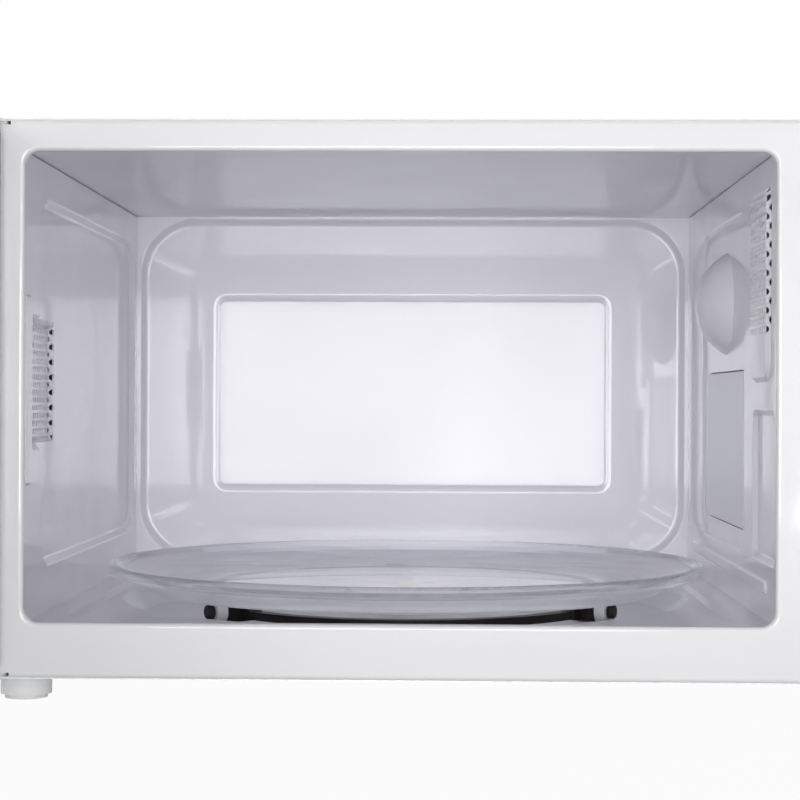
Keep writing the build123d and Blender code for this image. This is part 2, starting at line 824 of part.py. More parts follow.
with BuildPart() as door_outer_frame:
    block((door_side, door_front, door_low), (door_right, door_back - 2, door_high))
    front_edges = [e for e in door_outer_frame.edges() if abs(e.center().Y - door_front) < 0.01]
    fillet(front_edges, 3.0)
    block(
        (door_side + door_wall, door_front + door_wall, door_low + door_wall),
        (door_right - door_wall, door_back, door_high - door_wall),
        Mode.SUBTRACT,
    )
    with BuildSketch(front_plane(door_front - 1)):
        with Locations(((window_low[0] + window_high[0]) / 2, (window_low[1] + window_high[1]) / 2)):
            RectangleRounded(window_high[0] - window_low[0], window_high[1] - window_low[1], 10.0)
    extrude(amount=-(door_wall + 2), mode=Mode.SUBTRACT)
    for low, high in ((door_low, door_low + boss_length), (door_high - boss_length, door_high)):
        block((door_side, hinge_y - boss_width / 2, low), (door_side + boss_width, door_back - 2, high))
    pin_bore = hinge_pin_diameter / 2 + pin_clearance
    drum(level_plane(door_low - 1), (hinge_x, hinge_y), pin_bore, boss_length, Mode.SUBTRACT)
    drum(
        level_plane(door_high - boss_length + 1),
        (hinge_x, hinge_y),
        pin_bore,
        boss_length,
        Mode.SUBTRACT,
    )
    for z in (hook_z[0] + 20, hook_z[1] - 30):
        block(
            (latch_x - 4, door_front + door_wall, z),
            (latch_x + 4, latch_bar_y - slip, z + 10),
        )
    block(
        (latch_x - 4, door_front + door_wall, latch_bar_high + latch_spring_length),
        (latch_x + 4, latch_bar_y + latch_bar_depth, latch_bar_high + latch_spring_length + 4),
    )

pane_overlap = 7.0
pane_thickness = 3.0

with BuildPart() as door_window:
    pane_y = door_front + door_wall
    block(
        (window_low[0] - pane_overlap, pane_y, window_low[1] - pane_overlap),
        (window_high[0] + pane_overlap, pane_y + pane_thickness, window_high[1] + pane_overlap),
    )

steel = 1.0
screen_low = (-192.0, 70.0)
screen_high = (87.0, 216.0)
choke_depth = 12.0
panel_inset = 0.3
hook_gap = 1.2


def hook_slots(y0, y1):
    """The two slots that the hooks pass through, in the part that is being made."""
    for z in hook_z:
        block(
            (latch_x - latch_thickness / 2 - hook_gap, y0, z - barb_depth - 2),
            (latch_x + latch_thickness / 2 + hook_gap, y1, z + hook_height + latch_travel + 2),
            Mode.SUBTRACT,
        )


with BuildPart() as door_steel_panel:
    low = (door_side + door_wall + panel_inset, door_low + door_wall + panel_inset)
    high = (door_right - door_wall - panel_inset, door_high - door_wall - panel_inset)
    block((low[0], door_panel_y - choke_depth, low[1]), (high[0], door_panel_y + steel, high[1]))
    block(
        (low[0] + steel, door_panel_y - choke_depth - 1, low[1] + steel),
        (high[0] - steel, door_panel_y, high[1] - steel),
        Mode.SUBTRACT,
    )
    with BuildSketch(front_plane(door_panel_y - 1)):
        with Locations(((screen_low[0] + screen_high[0]) / 2, (screen_low[1] + screen_high[1]) / 2)):
            RectangleRounded(screen_high[0] - screen_low[0], screen_high[1] - screen_low[1], 6.0)
    extrude(amount=-(steel + 2), mode=Mode.SUBTRACT)
    for z0, z1 in ((door_low, door_low + boss_length), (door_high - boss_length, door_high)):
        block(
            (door_side, hinge_y - boss_width / 2 - 1, z0 - 1 if z0 == door_low else z0 - slip),
            (door_side + boss_width + slip, door_back, z1 + slip if z0 == door_low else z1 + 1),
            Mode.SUBTRACT,
        )
    hook_slots(door_panel_y - 1, door_panel_y + 2)

screen_overlap = 5.0
screen_thickness = 0.5

with BuildPart() as door_screen:
    block(
        (screen_low[0] - screen_overlap, door_panel_y - screen_thickness, screen_low[1] - screen_overlap),
        (screen_high[0] + screen_overlap, door_panel_y, screen_high[1] + screen_overlap),
    )

cover_thickness = 1.5
cover_inset = 2.0
view_low = (-199.0, 63.0)
view_high = (94.0, 223.0)
film_thickness = 1.2

with BuildPart() as door_choke_cover:
    with BuildSketch(front_plane(door_back)):
        with Locations(((door_side + door_right) / 2, (door_low + door_high) / 2)):
            RectangleRounded(
                door_right - door_side - 2 * cover_inset, door_high - door_low - 2 * cover_inset, 3.0
            )
        with Locations(((view_low[0] + view_high[0]) / 2, (view_low[1] + view_high[1]) / 2)):
            RectangleRounded(view_high[0] - view_low[0], view_high[1] - view_low[1], 8.0, mode=Mode.SUBTRACT)
    extrude(amount=cover_thickness)
    hook_slots(door_back - 3, door_back + 1)

with BuildPart() as door_inner_film:
    film_back = door_back - cover_thickness
    block(
        (view_low[0] - 5, film_back - film_thickness, view_low[1] - 5),
        (view_high[0] + 5, film_back, view_high[1] + 5),
    )

with BuildPart() as door_latch:
    half = latch_thickness / 2
    block(
        (latch_x - half, latch_bar_y, latch_bar_low),
        (latch_x + half, latch_bar_y + latch_bar_depth, latch_bar_high),
    )
    for z in hook_z:
        block((latch_x - half, latch_bar_y + 1, z), (latch_x + half, hook_tip, z + hook_height))
        block((latch_x - half, hook_tip - barb_length, z - barb_depth), (latch_x + half, hook_tip, z + 1))
    noses = [
        e
        for e in door_latch.edges().filter_by(Axis.X)
        if abs(e.center().Y - hook_tip) < 0.01
        and any(abs(e.center().Z - z + barb_depth) < 0.01 for z in hook_z)
    ]
    chamfer(noses, 2.0)

spring_radius = 3.0

with BuildPart() as latch_spring:
    spring_y = latch_bar_y + latch_bar_depth / 2
    drum(level_plane(latch_bar_high), (latch_x, spring_y), spring_radius, latch_spring_length)
    drum(
        level_plane(latch_bar_high - 1),
        (latch_x, spring_y),
        spring_radius - 1.0,
        latch_spring_length + 2,
        Mode.SUBTRACT,
    )

# Hinges: a tongue through the frame plate with a leg behind it, and a pin down into the door.
hinge_leg_height = 26.0
hinge_leg = 1.6
hinge_left = frame_left + sheet
tongue_front = hinge_y - 5.0

with BuildPart() as hinge_plates:
    for plate_low, leg_side in ((door_low - door_reveal - hinge_plate, 1), (door_high + door_reveal, -1)):
        block(
            (hinge_left, tongue_front, plate_low),
            (hinge_left + hinge_plate_width, front_y + sheet + hinge_leg, plate_low + hinge_plate),
        )
        leg_low = plate_low if leg_side == 1 else plate_low + hinge_plate - hinge_leg_height
        block(
            (hinge_left, front_y + sheet, leg_low),
            (hinge_left + hinge_plate_width, front_y + sheet + hinge_leg, leg_low + hinge_leg_height),
        )
        drum(level_plane(plate_low - 1), (hinge_x, hinge_y), hinge_pin_diameter / 2 + 0.02, 4, Mode.SUBTRACT)
    tips = [e for e in hinge_plates.edges().filter_by(Axis.Z) if abs(e.center().Y - tongue_front) < 0.01]
    fillet(tips, 3.0)
    upper_edges = hinge_plates.edges().filter_by(Axis.Y).group_by(Axis.Z)[-1]
    fillet(upper_edges.sort_by(Axis.X)[0], case_bend - 2 * sheet)

pin_depth = 10.0

with BuildPart() as hinge_pins:
    pin = hinge_pin_diameter / 2
    pin_length = pin_depth + door_reveal + hinge_plate
    drum(level_plane(door_low + pin_depth - pin_length), (hinge_x, hinge_y), pin, pin_length)
    drum(level_plane(door_high - pin_depth), (hinge_x, hinge_y), pin, pin_length)

# Control panel: a hollow moulding with two dial rings, the button's hole and a guide for its stem.
button_x = panel_left + panel_width / 2
button_z = base_z + button_rise
timer_z = base_z + timer_knob_rise
power_z = base_z + power_knob_rise
button_clear = 0.5
stem_radius = 4.0
guide_y = door_front + 21.0
guide_thickness = 3.0
dial_ring = 1.2

with BuildPart() as control_panel:
    block((panel_left, door_front, base_z), (right_x, front_y, top_z))
    front_edges = [e for e in control_panel.edges() if abs(e.center().Y - door_front) < 0.01]
    fillet(front_edges, 3.0)
    block((frame_right + slip, front_y - 1, base_z), (right_x, plate_front, top_z))
    block(
        (panel_left + panel_wall, door_front + panel_wall, base_z + panel_wall),
        (right_x - panel_wall, front_y + 10, top_z - panel_wall),
        Mode.SUBTRACT,
    )
    for z in (timer_z, power_z):
        with BuildSketch(front_plane(door_front)):
            with Locations((button_x, z)):
                Circle(knob_diameter / 2 + 5)
                Circle(knob_diameter / 2 + 2.5, mode=Mode.SUBTRACT)
        extrude(amount=dial_ring)
        drum(front_plane(door_front + 5), (button_x, z), shaft_diameter / 2 + 0.8, 10, Mode.SUBTRACT)
    with BuildSketch(front_plane(door_front - 1)):
        with Locations((button_x, button_z)):
            RectangleRounded(button_width + 2 * button_clear, button_height + 2 * button_clear, 4.5)
    extrude(amount=-5, mode=Mode.SUBTRACT)
    block(
        (button_x - 30, guide_y, base_z + 1),
        (button_x + 30, guide_y + guide_thickness, button_z + 22),
    )
    drum(front_plane(guide_y + 5), (button_x, button_z), stem_radius + 0.05, 10, Mode.SUBTRACT)

# Knobs, their shafts and the switches behind the panel.
knob_base = 6.0
knob_grip = 11.0
knob_gap = 0.6
shaft_front = door_front - 10.0
knob_parts = []
for name, z in (("timer_knob", timer_z), ("power_knob", power_z)):
    with BuildPart() as knob:
        drum(front_plane(door_front - knob_gap), (button_x, z), knob_diameter / 2, knob_base)
        with BuildSketch(front_plane(door_front - knob_gap)):
            with Locations((button_x, z)):
                SlotOverall(knob_diameter - 3, knob_grip, rotation=90)
        extrude(amount=knob_height)
        outer = [e for e in knob.edges() if abs(e.center().Y - door_front + knob_gap + knob_height) < 0.01]
        fillet(outer, 1.6)
        drum(front_plane(door_front + 1), (button_x, z), shaft_diameter / 2 + 0.02, 11.2, Mode.SUBTRACT)
    knob_parts.append((name, knob))

timer_width = 46.0
timer_depth = 34.0
selector_width = 36.0
selector_depth = 22.0
inner_panel_y = door_front + panel_wall
switch_parts = []
shaft_parts = []
for name, z, width, depth in (
    ("timer_unit", timer_z, timer_width, timer_depth),
    ("power_selector", power_z, selector_width, selector_depth),
):
    with BuildPart() as unit:
        block(
            (button_x - width / 2, inner_panel_y, z - width / 2),
            (button_x + width / 2, inner_panel_y + depth, z + width / 2),
        )
        corners = unit.edges().filter_by(Axis.Y)
        fillet(corners, 3.0)
        block(
            (button_x - 3, inner_panel_y + depth - 1, z - width / 2 + 4),
            (button_x - 2, inner_panel_y + depth + 7, z - width / 2 + 10),
        )
        drum(
            front_plane(inner_panel_y + depth - 6),
            (button_x, z),
            shaft_diameter / 2 + pin_clearance,
            depth,
            Mode.SUBTRACT,
        )
    switch_parts.append((name, unit))
    with BuildPart() as shaft:
        drum(
            front_plane(inner_panel_y + depth - 7),
            (button_x, z),
            shaft_diameter / 2,
            inner_panel_y + depth - 7 - shaft_front,
        )
    shaft_parts.append((name.split("_")[0] + "_shaft", shaft))

# Door release: button with its stem and spring, and the lever that lifts the lower hook.
button_proud = 1.5
button_wall = 2.0
button_depth = 15.0
lever_y = front_y + 4.5
lever_z = button_z + 23.0
lever_shaft = 2.5
lever_plate = 3.0
stem_end = lever_y - lever_plate / 2 - slip

with BuildPart() as release_button:
    y0 = door_front - button_proud
    with BuildSketch(front_plane(y0)):
        with Locations((button_x, button_z)):
            RectangleRounded(button_width, button_height, 4.0)
    extrude(amount=-button_depth)
    face_edges = [e for e in release_button.edges() if abs(e.center().Y - y0) < 0.01]
    fillet(face_edges, 1.5)
    with BuildSketch(front_plane(y0 + button_wall)):
        with Locations((button_x, button_z)):
            RectangleRounded(button_width - 2 * button_wall, button_height - 2 * button_wall, 2.0)
    extrude(amount=-button_depth, mode=Mode.SUBTRACT)
    drum(front_plane(stem_end), (button_x, button_z), stem_radius, stem_end - y0 - 1)
    stem_tip = [e for e in release_button.edges() if abs(e.center().Y - stem_end) < 0.01]
    fillet(stem_tip, stem_radius - 0.5)

lever_left = latch_x - latch_thickness / 2 - 5.0
lever_foot_top = hook_z[0] - barb_depth - 0.4
lever_foot = (hook_tip - barb_length + 0.3, hook_tip - barb_length + 2.5)
bracket_x = latch_x + latch_thickness / 2 + 3.0
bracket_wall = 3.0
bracket_b = bracket_x + 8.0
ledge_low = front_y + 10.0
ledge_high = front_y + 15.0
ledge_top = 0.4

arm_left = frame_right + 10.0
return_spring_radius = 4.6

with BuildPart() as release_lever:
    drum(side_plane(lever_left), (lever_y, lever_z), lever_shaft, button_x + 4 - lever_left)
    block((lever_left, lever_y, lever_z - 2), (lever_left + 3.5, lever_foot[1], lever_z + 2))
    block((lever_left, lever_foot[0], lever_z - 2), (latch_x + 2, lever_foot[1], lever_foot_top))
    block(
        (arm_left, lever_y - lever_plate / 2, button_z - 5),
        (button_x + 4, lever_y + lever_plate / 2, lever_z),
    )

with BuildPart() as release_spring:
    place = (lever_y, lever_z)
    length = arm_left - slip - frame_right - 1
    drum(side_plane(frame_right + 1), place, return_spring_radius, length)
    drum(side_plane(frame_right), place, lever_shaft + slip, length + 2, Mode.SUBTRACT)

with BuildPart() as latch_bracket:
    back = front_y + 38.0
    block(
        (bracket_x, front_y + sheet, hook_z[0] - 22),
        (bracket_x + bracket_wall, back, hook_z[1] + 22),
    )
    block((bracket_b, front_y + sheet, lever_z - 14), (bracket_b + bracket_wall, front_y + 14, lever_z + 14))
    block((bracket_x, front_y + 11, lever_z - 14), (bracket_b + bracket_wall, front_y + 14, lever_z + 14))
    block(
        (bracket_x, front_y + sheet, hook_z[0] + 30),
        (bracket_x + 12, front_y + sheet + 2.5, hook_z[1] + 10),
    )
    for z in hook_z:
        block(
            (latch_x - latch_thickness / 2 - 1, ledge_low, z - 10),
            (bracket_x, ledge_high, z - ledge_top),
        )
    drum(side_plane(bracket_x - 1), (lever_y, lever_z), lever_shaft + 0.05, 20, Mode.SUBTRACT)

switch_thickness = 10.2
switch_height = 27.8
switch_depth = 15.8

with BuildPart() as interlock_switches:
    y0 = hook_tip + 3.0
    for z in (hook_z[0] + 5, hook_z[1] + 5, hook_z[0] + 42):
        block(
            (bracket_x - switch_thickness, y0, z - switch_height / 2),
            (bracket_x, y0 + switch_depth, z + switch_height / 2),
        )
        block((bracket_x - 7, y0 - 2.4, z - 2), (bracket_x - 3, y0, z + 2))

# Microwave feed: a flanged duct on the right wall, and the magnetron standing on its far face.
feed_flange = 1.2
feed_low = (mouth_low[0] - feed_flange, mouth_low[1] - feed_flange)
feed_high = (mouth_high[0] + feed_flange, mouth_high[1] + feed_flange)
feed_lip = 7.0
feed_depth = 34.0
feed_x = recess_face + sheet
feed_far = feed_x + feed_depth
tube_y = turn_y + 42.0
tube_z = opening_low + 79.0
tube_hole = 14.0

with BuildPart() as waveguide:
    block(
        (feed_x, feed_low[0] - feed_lip, feed_low[1] - feed_lip),
        (feed_x + feed_flange, feed_high[0] + feed_lip, feed_high[1] + feed_lip),
    )
    block((feed_x, feed_low[0], feed_low[1]), (feed_far, feed_high[0], feed_high[1]))
    block(
        (feed_x - 1, feed_low[0] + feed_flange, feed_low[1] + feed_flange),
        (feed_far - feed_flange, feed_high[0] - feed_flange, feed_high[1] - feed_flange),
        Mode.SUBTRACT,
    )
    drum(side_plane(feed_far - 3), (tube_y, tube_z), tube_hole, 6, Mode.SUBTRACT)

yoke_length = 50.0
yoke_width = 84.0
yoke_height = 62.0
yoke_wall = 1.6
yoke_far = feed_far + yoke_length
magnet_radius = 26.0
magnet_thickness = 10.5
magnet_bore = 12.0
magnet_one = feed_far + yoke_wall
magnet_two = yoke_far - yoke_wall - magnet_thickness
anode_radius = 18.0
fin_count = 6
fin_thickness = 0.6

with BuildPart() as magnetron_yoke:
    block(
        (feed_far, tube_y - yoke_width / 2, tube_z - yoke_height / 2),
        (yoke_far, tube_y + yoke_width / 2, tube_z + yoke_height / 2),
    )
    block(
        (feed_far + yoke_wall, tube_y - yoke_width, tube_z - yoke_height / 2 + yoke_wall),
        (yoke_far - yoke_wall, tube_y + yoke_width, tube_z + yoke_height / 2 - yoke_wall),
        Mode.SUBTRACT,
    )
    drum(side_plane(feed_far - 2), (tube_y, tube_z), magnet_bore, yoke_length + 4, Mode.SUBTRACT)

with BuildPart() as magnetron_magnets:
    for x in (magnet_one, magnet_two):
        drum(side_plane(x), (tube_y, tube_z), magnet_radius, magnet_thickness)
        drum(side_plane(x - 1), (tube_y, tube_z), magnet_bore, magnet_thickness + 2, Mode.SUBTRACT)

with BuildPart() as magnetron_tube:
    tube_start = magnet_one + magnet_thickness
    tube_length = magnet_two - tube_start
    drum(side_plane(tube_start), (tube_y, tube_z), anode_radius, tube_length)
    drum(side_plane(feed_far - 20), (tube_y, tube_z), magnet_bore - 3.5, tube_start - feed_far + 21)
    drum(side_plane(magnet_two - 1), (tube_y, tube_z), magnet_bore - 3.5, yoke_far - magnet_two + 7)
    for number in range(fin_count):
        x = tube_start + (number + 0.5) * tube_length / fin_count
        fin_half = (yoke_width / 2 - 3, yoke_height / 2 - yoke_wall)
        block(
            (x - fin_thickness / 2, tube_y - fin_half[0], tube_z - fin_half[1]),
            (x + fin_thickness / 2, tube_y + fin_half[0], tube_z + fin_half[1]),
        )

filter_depth = 26.0
filter_width = 52.0
filter_height = 44.0
filter_wall = 1.0

with BuildPart() as magnetron_filter_box:
    block(
        (yoke_far, tube_y - filter_width / 2, tube_z - filter_height / 2),
        (yoke_far + filter_depth, tube_y + filter_width / 2, tube_z + filter_height / 2),
    )
    block(
        (yoke_far - 1, tube_y - filter_width / 2 + filter_wall, tube_z - filter_height / 2 + filter_wall),
        (
            yoke_far + filter_depth - filter_wall,
            tube_y + filter_width / 2 - filter_wall,
            tube_z + filter_height / 2 - filter_wall,
        ),
        Mode.SUBTRACT,
    )
    block(
        (yoke_far + 8, tube_y - filter_width / 2 - 8, tube_z - 8),
        (yoke_far + 18, tube_y - filter_width / 2, tube_z + 8),
    )

with BuildPart() as thermal_cutout:
    cutout_z = tube_z + yoke_height / 2
    cutout_place = (feed_far + 25.0, tube_y)
    drum(level_plane(cutout_z), cutout_place, 8.5, 6)
    for side in (-1, 1):
        block(
            (cutout_place[0] + side * 4 - 0.4, cutout_place[1] - 2.4, cutout_z + 5),
            (cutout_place[0] + side * 4 + 0.4, cutout_place[1] + 2.4, cutout_z + 14),
        )

# High-voltage parts on the base: transformer, capacitor with its clamp, and the diode.
core_y = front_y + 97.0
core_stack = 60.0
core_leg = 16.0
core_plate = 1.2
core_low = base_z + sheet
leg_low = core_low + core_plate
window_height = 3 * core_leg
window_top = leg_low + core_leg + window_height
coil_gap = 0.5
coil_wall = 13.0
core_x = feed_far + 1.0 + core_stack / 2 + coil_wall

with BuildPart() as transformer_core:
    block((core_x - 38, core_y - 54, core_low), (core_x + 38, core_y + 54, leg_low))
    block(
        (core_x - core_stack / 2, core_y - 3 * core_leg, leg_low),
        (core_x + core_stack / 2, core_y + 3 * core_leg, window_top + core_leg),
    )
    for side in (-1, 1):
        middle = core_y + side * 1.5 * core_leg
        block(
            (core_x - core_stack, middle - core_leg / 2, leg_low + core_leg),
            (core_x + core_stack, middle + core_leg / 2, window_top),
            Mode.SUBTRACT,
        )

with BuildPart() as transformer_windings:
    coil_height = (window_height - 4) / 2
    for low in (leg_low + core_leg, window_top - coil_height):
        with BuildSketch(level_plane(low)):
            with Locations((core_x, core_y)):
                RectangleRounded(core_stack + 2 * coil_wall, 4 * core_leg - 2 * coil_gap, 12.0)
                Rectangle(core_stack + coil_gap, 2 * core_leg + coil_gap, mode=Mode.SUBTRACT)
        extrude(amount=coil_height)

can_x = right_x - 79.0
can_low_y = turn_y + 28.0
can_length = 90.0
can_height = 54.0
can_width = 34.0
can_z = core_low + 1.2 + can_height / 2
clamp_y = can_low_y + 40.0
clamp_width = 12.0
clamp_sheet = 1.2

with BuildPart() as capacitor:
    with BuildSketch(front_plane(can_low_y)):
        with Locations((can_x, can_z)):
            SlotOverall(can_height, can_width, rotation=90)
    extrude(amount=-can_length)
    for side in (-1, 1):
        block(
            (can_x - 0.4, can_low_y - 8, can_z + side * 12 - 3),
            (can_x + 0.4, can_low_y + 1, can_z + side * 12 + 3),
        )

with BuildPart() as capacitor_clamp:
    with BuildSketch(front_plane(clamp_y)):
        with Locations((can_x, can_z)):
            SlotOverall(can_height + 2 * clamp_sheet, can_width + 2 * clamp_sheet, rotation=90)
            SlotOverall(can_height, can_width, rotation=90, mode=Mode.SUBTRACT)
    extrude(amount=-clamp_width)
    block(
        (can_x, clamp_y, core_low),
        (can_x + can_width / 2 + 16, clamp_y + clamp_width, core_low + clamp_sheet),
    )
    block(
        (can_x + can_width / 2, clamp_y, core_low),
        (can_x + can_width / 2 + clamp_sheet, clamp_y + clamp_width, can_z),
    )
    with BuildSketch(front_plane(clamp_y - 1)):
        with Locations((can_x, can_z)):
            SlotOverall(can_height, can_width, rotation=90)
    extrude(amount=-(clamp_width + 2), mode=Mode.SUBTRACT)

diode_x = can_x + 38.0
diode_y = can_low_y - 5.0
diode_low = core_low + 14.0

with BuildPart() as high_voltage_diode:
    drum(level_plane(core_low), (diode_x, diode_y), 5.0, 0.8)
    drum(level_plane(core_low), (diode_x, diode_y), 0.7, can_z - 12 - core_low)
    drum(level_plane(diode_low), (diode_x, diode_y), 3.4, 9.0)
    drum(side_plane(can_x + 0.4), (diode_y, can_z - 12), 0.7, diode_x - can_x + 0.3)

# Cooling fan on the back plate.
shroud_size = 112.0
shroud_depth = 12.0
shroud_y = plate_back - shroud_depth
post = 6.0
motor_bar = 9.0
fan_gap = 26.0
bar_y = shroud_y - fan_gap
bar_rise = 21.0
core_height = 50.0
fan_core = 18.0
blade_length = 16.0
hub_radius = 12.0
blade_low = shroud_y - 12.0
fan_shaft = 2.0

with BuildPart() as fan_shroud:
    block(
        (fan_x - shroud_size / 2, shroud_y, fan_z - shroud_size / 2),
        (fan_x + shroud_size / 2, plate_back, fan_z + shroud_size / 2),
    )
    drum(front_plane(plate_back + 1), (fan_x, fan_z), fan_radius + 3.5, shroud_depth + 2, Mode.SUBTRACT)
    for rise in (-bar_rise, bar_rise):
        for side in (-1, 1):
            x = fan_x + side * (shroud_size / 2 - post / 2)
            block(
                (x - post / 2, bar_y, fan_z + rise - motor_bar / 2),
                (x + post / 2, shroud_y + 1, fan_z + rise + motor_bar / 2),
            )
        block(
            (fan_x - shroud_size / 2, bar_y, fan_z + rise - motor_bar / 2),
            (fan_x + shroud_size / 2, bar_y + 3, fan_z + rise + motor_bar / 2),
        )

with BuildPart() as fan_motor:
    block(
        (fan_x - 36, bar_y - fan_core, fan_z - core_height / 2),
        (fan_x + 26, bar_y, fan_z + core_height / 2),
    )
    with BuildSketch(front_plane(bar_y + 1)):
        with Locations((fan_x - 18, fan_z)):
            Rectangle(12, core_height - 22)
    extrude(amount=fan_core + 2, mode=Mode.SUBTRACT)
    block(
        (fan_x - 44, bar_y - fan_core - 6, fan_z - 12),
        (fan_x - 18, bar_y + 2, fan_z + 12),
    )
    drum(front_plane(bar_y + 3), (fan_x, fan_z), 9.0, fan_core + 9)
    drum(front_plane(bar_y + 4), (fan_x, fan_z), fan_shaft + pin_clearance, fan_core + 5, Mode.SUBTRACT)

with BuildPart() as fan_blade:
    drum(front_plane(blade_low + blade_length), (fan_x, fan_z), fan_shaft, blade_length + fan_core + 6)
    drum(front_plane(blade_low + blade_length), (fan_x, fan_z), hub_radius, blade_length)
    for number in range(5):
        turned = Plane(
            origin=(fan_x, blade_low + blade_length / 2, fan_z),
            x_dir=(math.sin(math.radians(72 * number)), 0, math.cos(math.radians(72 * number))),
            z_dir=(0, -1, 0),
        )
        pitched = Plane(origin=turned.origin, x_dir=turned.x_dir, z_dir=turned.z_dir.rotate(
            Axis(turned.origin, turned.x_dir), 32
        ))
        with BuildSketch(pitched):
            with BuildLine():
                Polyline(
                    (hub_radius - 3, -5),
                    (fan_radius - 5, -12),
                    (fan_radius - 1.5, -6),
                    (fan_radius - 2, 9),
                    (hub_radius - 3, 7),
                    close=True,
                )
            make_face()
        extrude(amount=0.8, both=True)

# Air duct over the vent boss, with the oven lamp in its deep part.
duct_wall = 1.5
duct_low = vent_boss.low[1] - 5.0
duct_high = vent_boss.high[1] + 4.0
duct_front = vent_boss.low[0] - 4.0
duct_rear = vent_boss.high[0] + 14.0
duct_step = front_y + 46.0
duct_thin = wall_right + sheet + 10.5
duct_deep = wall_right + sheet + 34.0
lamp_y = duct_step + 21.0
lamp_z = vent_boss.high[1] - 32.0
lamp_hole = 11.0

with BuildPart() as air_duct:
    for deep, front in ((duct_thin, duct_front), (duct_deep, duct_step)):
        block((wall_right + sheet, front, duct_low), (deep, duct_rear, duct_high))
    for deep, front in ((duct_thin, duct_front), (duct_deep, duct_step)):
        block(
            (wall_right, front + duct_wall, duct_low + duct_wall),
            (deep - duct_wall, duct_rear - duct_wall, duct_high - duct_wall),
            Mode.SUBTRACT,
        )
    block(
        (wall_right + sheet + 6, duct_rear - 5, duct_low + 8),
        (duct_deep - 5, duct_rear + 1, duct_high - 8),
        Mode.SUBTRACT,
    )
    drum(side_plane(duct_deep - 3), (lamp_y, lamp_z), lamp_hole, 6, Mode.SUBTRACT)

lamp_bulb = 9.5
lamp_base = 6.5

with BuildPart() as lamp_holder:
    block((duct_deep, lamp_y - 15, lamp_z - 15), (duct_deep + 3, lamp_y + 15, lamp_z + 15))
    drum(side_plane(duct_deep), (lamp_y, lamp_z), 9.0, 16)
    drum(side_plane(duct_deep - 1), (lamp_y, lamp_z), lamp_base + 0.1, 14, Mode.SUBTRACT)

with BuildPart() as oven_lamp:
    drum(side_plane(duct_deep - 4), (lamp_y, lamp_z), lamp_base, 17)
    with Locations((duct_deep - 13, lamp_y, lamp_z)):
        Sphere(lamp_bulb)
    drum(side_plane(duct_deep - 13), (lamp_y, lamp_z), lamp_base + 0.6, 9.0)

# Mains filter board on the back plate, beside the cord's gland.
board_x = right_x - 41.0
board_z = gland_z - 16.0
board_width = 66.0
board_height = 56.0
board_post = 10.0
board_thickness = 1.6

with BuildPart() as noise_filter:
    board_y = plate_back - board_post - board_thickness
    block(
        (board_x - board_width / 2, board_y, board_z - board_height / 2),
        (board_x + board_width / 2, board_y + board_thickness, board_z + board_height / 2),
    )
    with BuildSketch(front_plane(plate_back)):
        with Locations((board_x, board_z)):
            with GridLocations(board_width - 10, board_height - 10, 2, 2):
                Circle(3)
    extrude(amount=board_post + 0.5)
    drum(front_plane(board_y + 0.5), (board_x - 14, board_z - 4), 13.0, 15)
    drum(front_plane(board_y - 15), (board_x - 14, board_z - 4), 6.0, 0.6, Mode.SUBTRACT)
    block((board_x + 6, board_y - 13, board_z - 20), (board_x + 28, board_y + 0.5, board_z - 6))
    block((board_x + 8, board_y - 18, board_z + 2), (board_x + 14, board_y + 0.5, board_z + 22))
    drum(front_plane(board_y + 0.5), (board_x + 24, board_z + 12), 5.0, 12)

finished = [
    ("front_frame", front_frame),
    ("cavity_left_wall", cavity_left_wall),
    ("cavity_right_wall", cavity_right_wall),
    ("cavity_floor", cavity_floor),
    ("cavity_ceiling", cavity_ceiling),
    ("cavity_back_panel", cavity_back_panel),
    ("waveguide_cover", waveguide_cover),
    ("base_plate", base_plate),
    ("outer_case", outer_case),
    ("back_plate", back_plate),
    ("feet", feet),
    ("body_screws", body_screws),
    ("cord_gland", cord_gland),
    ("turntable_motor", turntable_motor),
    ("turntable_coupler", turntable_coupler),
    ("glass_plate", glass_plate),
    ("roller_ring", roller_ring),
    ("hinge_plates", hinge_plates),
    ("hinge_pins", hinge_pins),
    ("control_panel", control_panel),
    ("release_button", release_button),
    ("release_spring", release_spring),
    ("release_lever", release_lever),
    ("latch_bracket", latch_bracket),
    ("interlock_switches", interlock_switches),
    ("waveguide", waveguide),
    ("magnetron_yoke", magnetron_yoke),
    ("magnetron_magnets", magnetron_magnets),
    ("magnetron_tube", magnetron_tube),
    ("magnetron_filter_box", magnetron_filter_box),
    ("thermal_cutout", thermal_cutout),
    ("transformer_core", transformer_core),
    ("transformer_windings", transformer_windings),
    ("capacitor", capacitor),
    ("capacitor_clamp", capacitor_clamp),
    ("high_voltage_diode", high_voltage_diode),
    ("fan_shroud", fan_shroud),
    ("fan_motor", fan_motor),
    ("fan_blade", fan_blade),
    ("air_duct", air_duct),
    ("lamp_holder", lamp_holder),
    ("oven_lamp", oven_lamp),
    ("noise_filter", noise_filter),
]
finished += roller_wheels + knob_parts + switch_parts + shaft_parts
for name, made in finished:
    made.part.label = name
    export_step(made.part, "parts/" + name + ".step")

# The door's pieces, swung open about the hinge pins.
hinge_axis = Axis((hinge_x, hinge_y, 0), (0, 0, 1))
door_pieces = [
    ("door_outer_frame", door_outer_frame),
    ("door_window", door_window),
    ("door_steel_panel", door_steel_panel),
    ("door_screen", door_screen),
    ("door_choke_cover", door_choke_cover),
    ("door_inner_film", door_inner_film),
    ("door_latch", door_latch),
    ("latch_spring", latch_spring),
]
for name, made in door_pieces:
    opened = made.part.rotate(hinge_axis, -door_open)
    opened.label = name
    export_step(opened, "parts/" + name + ".step")
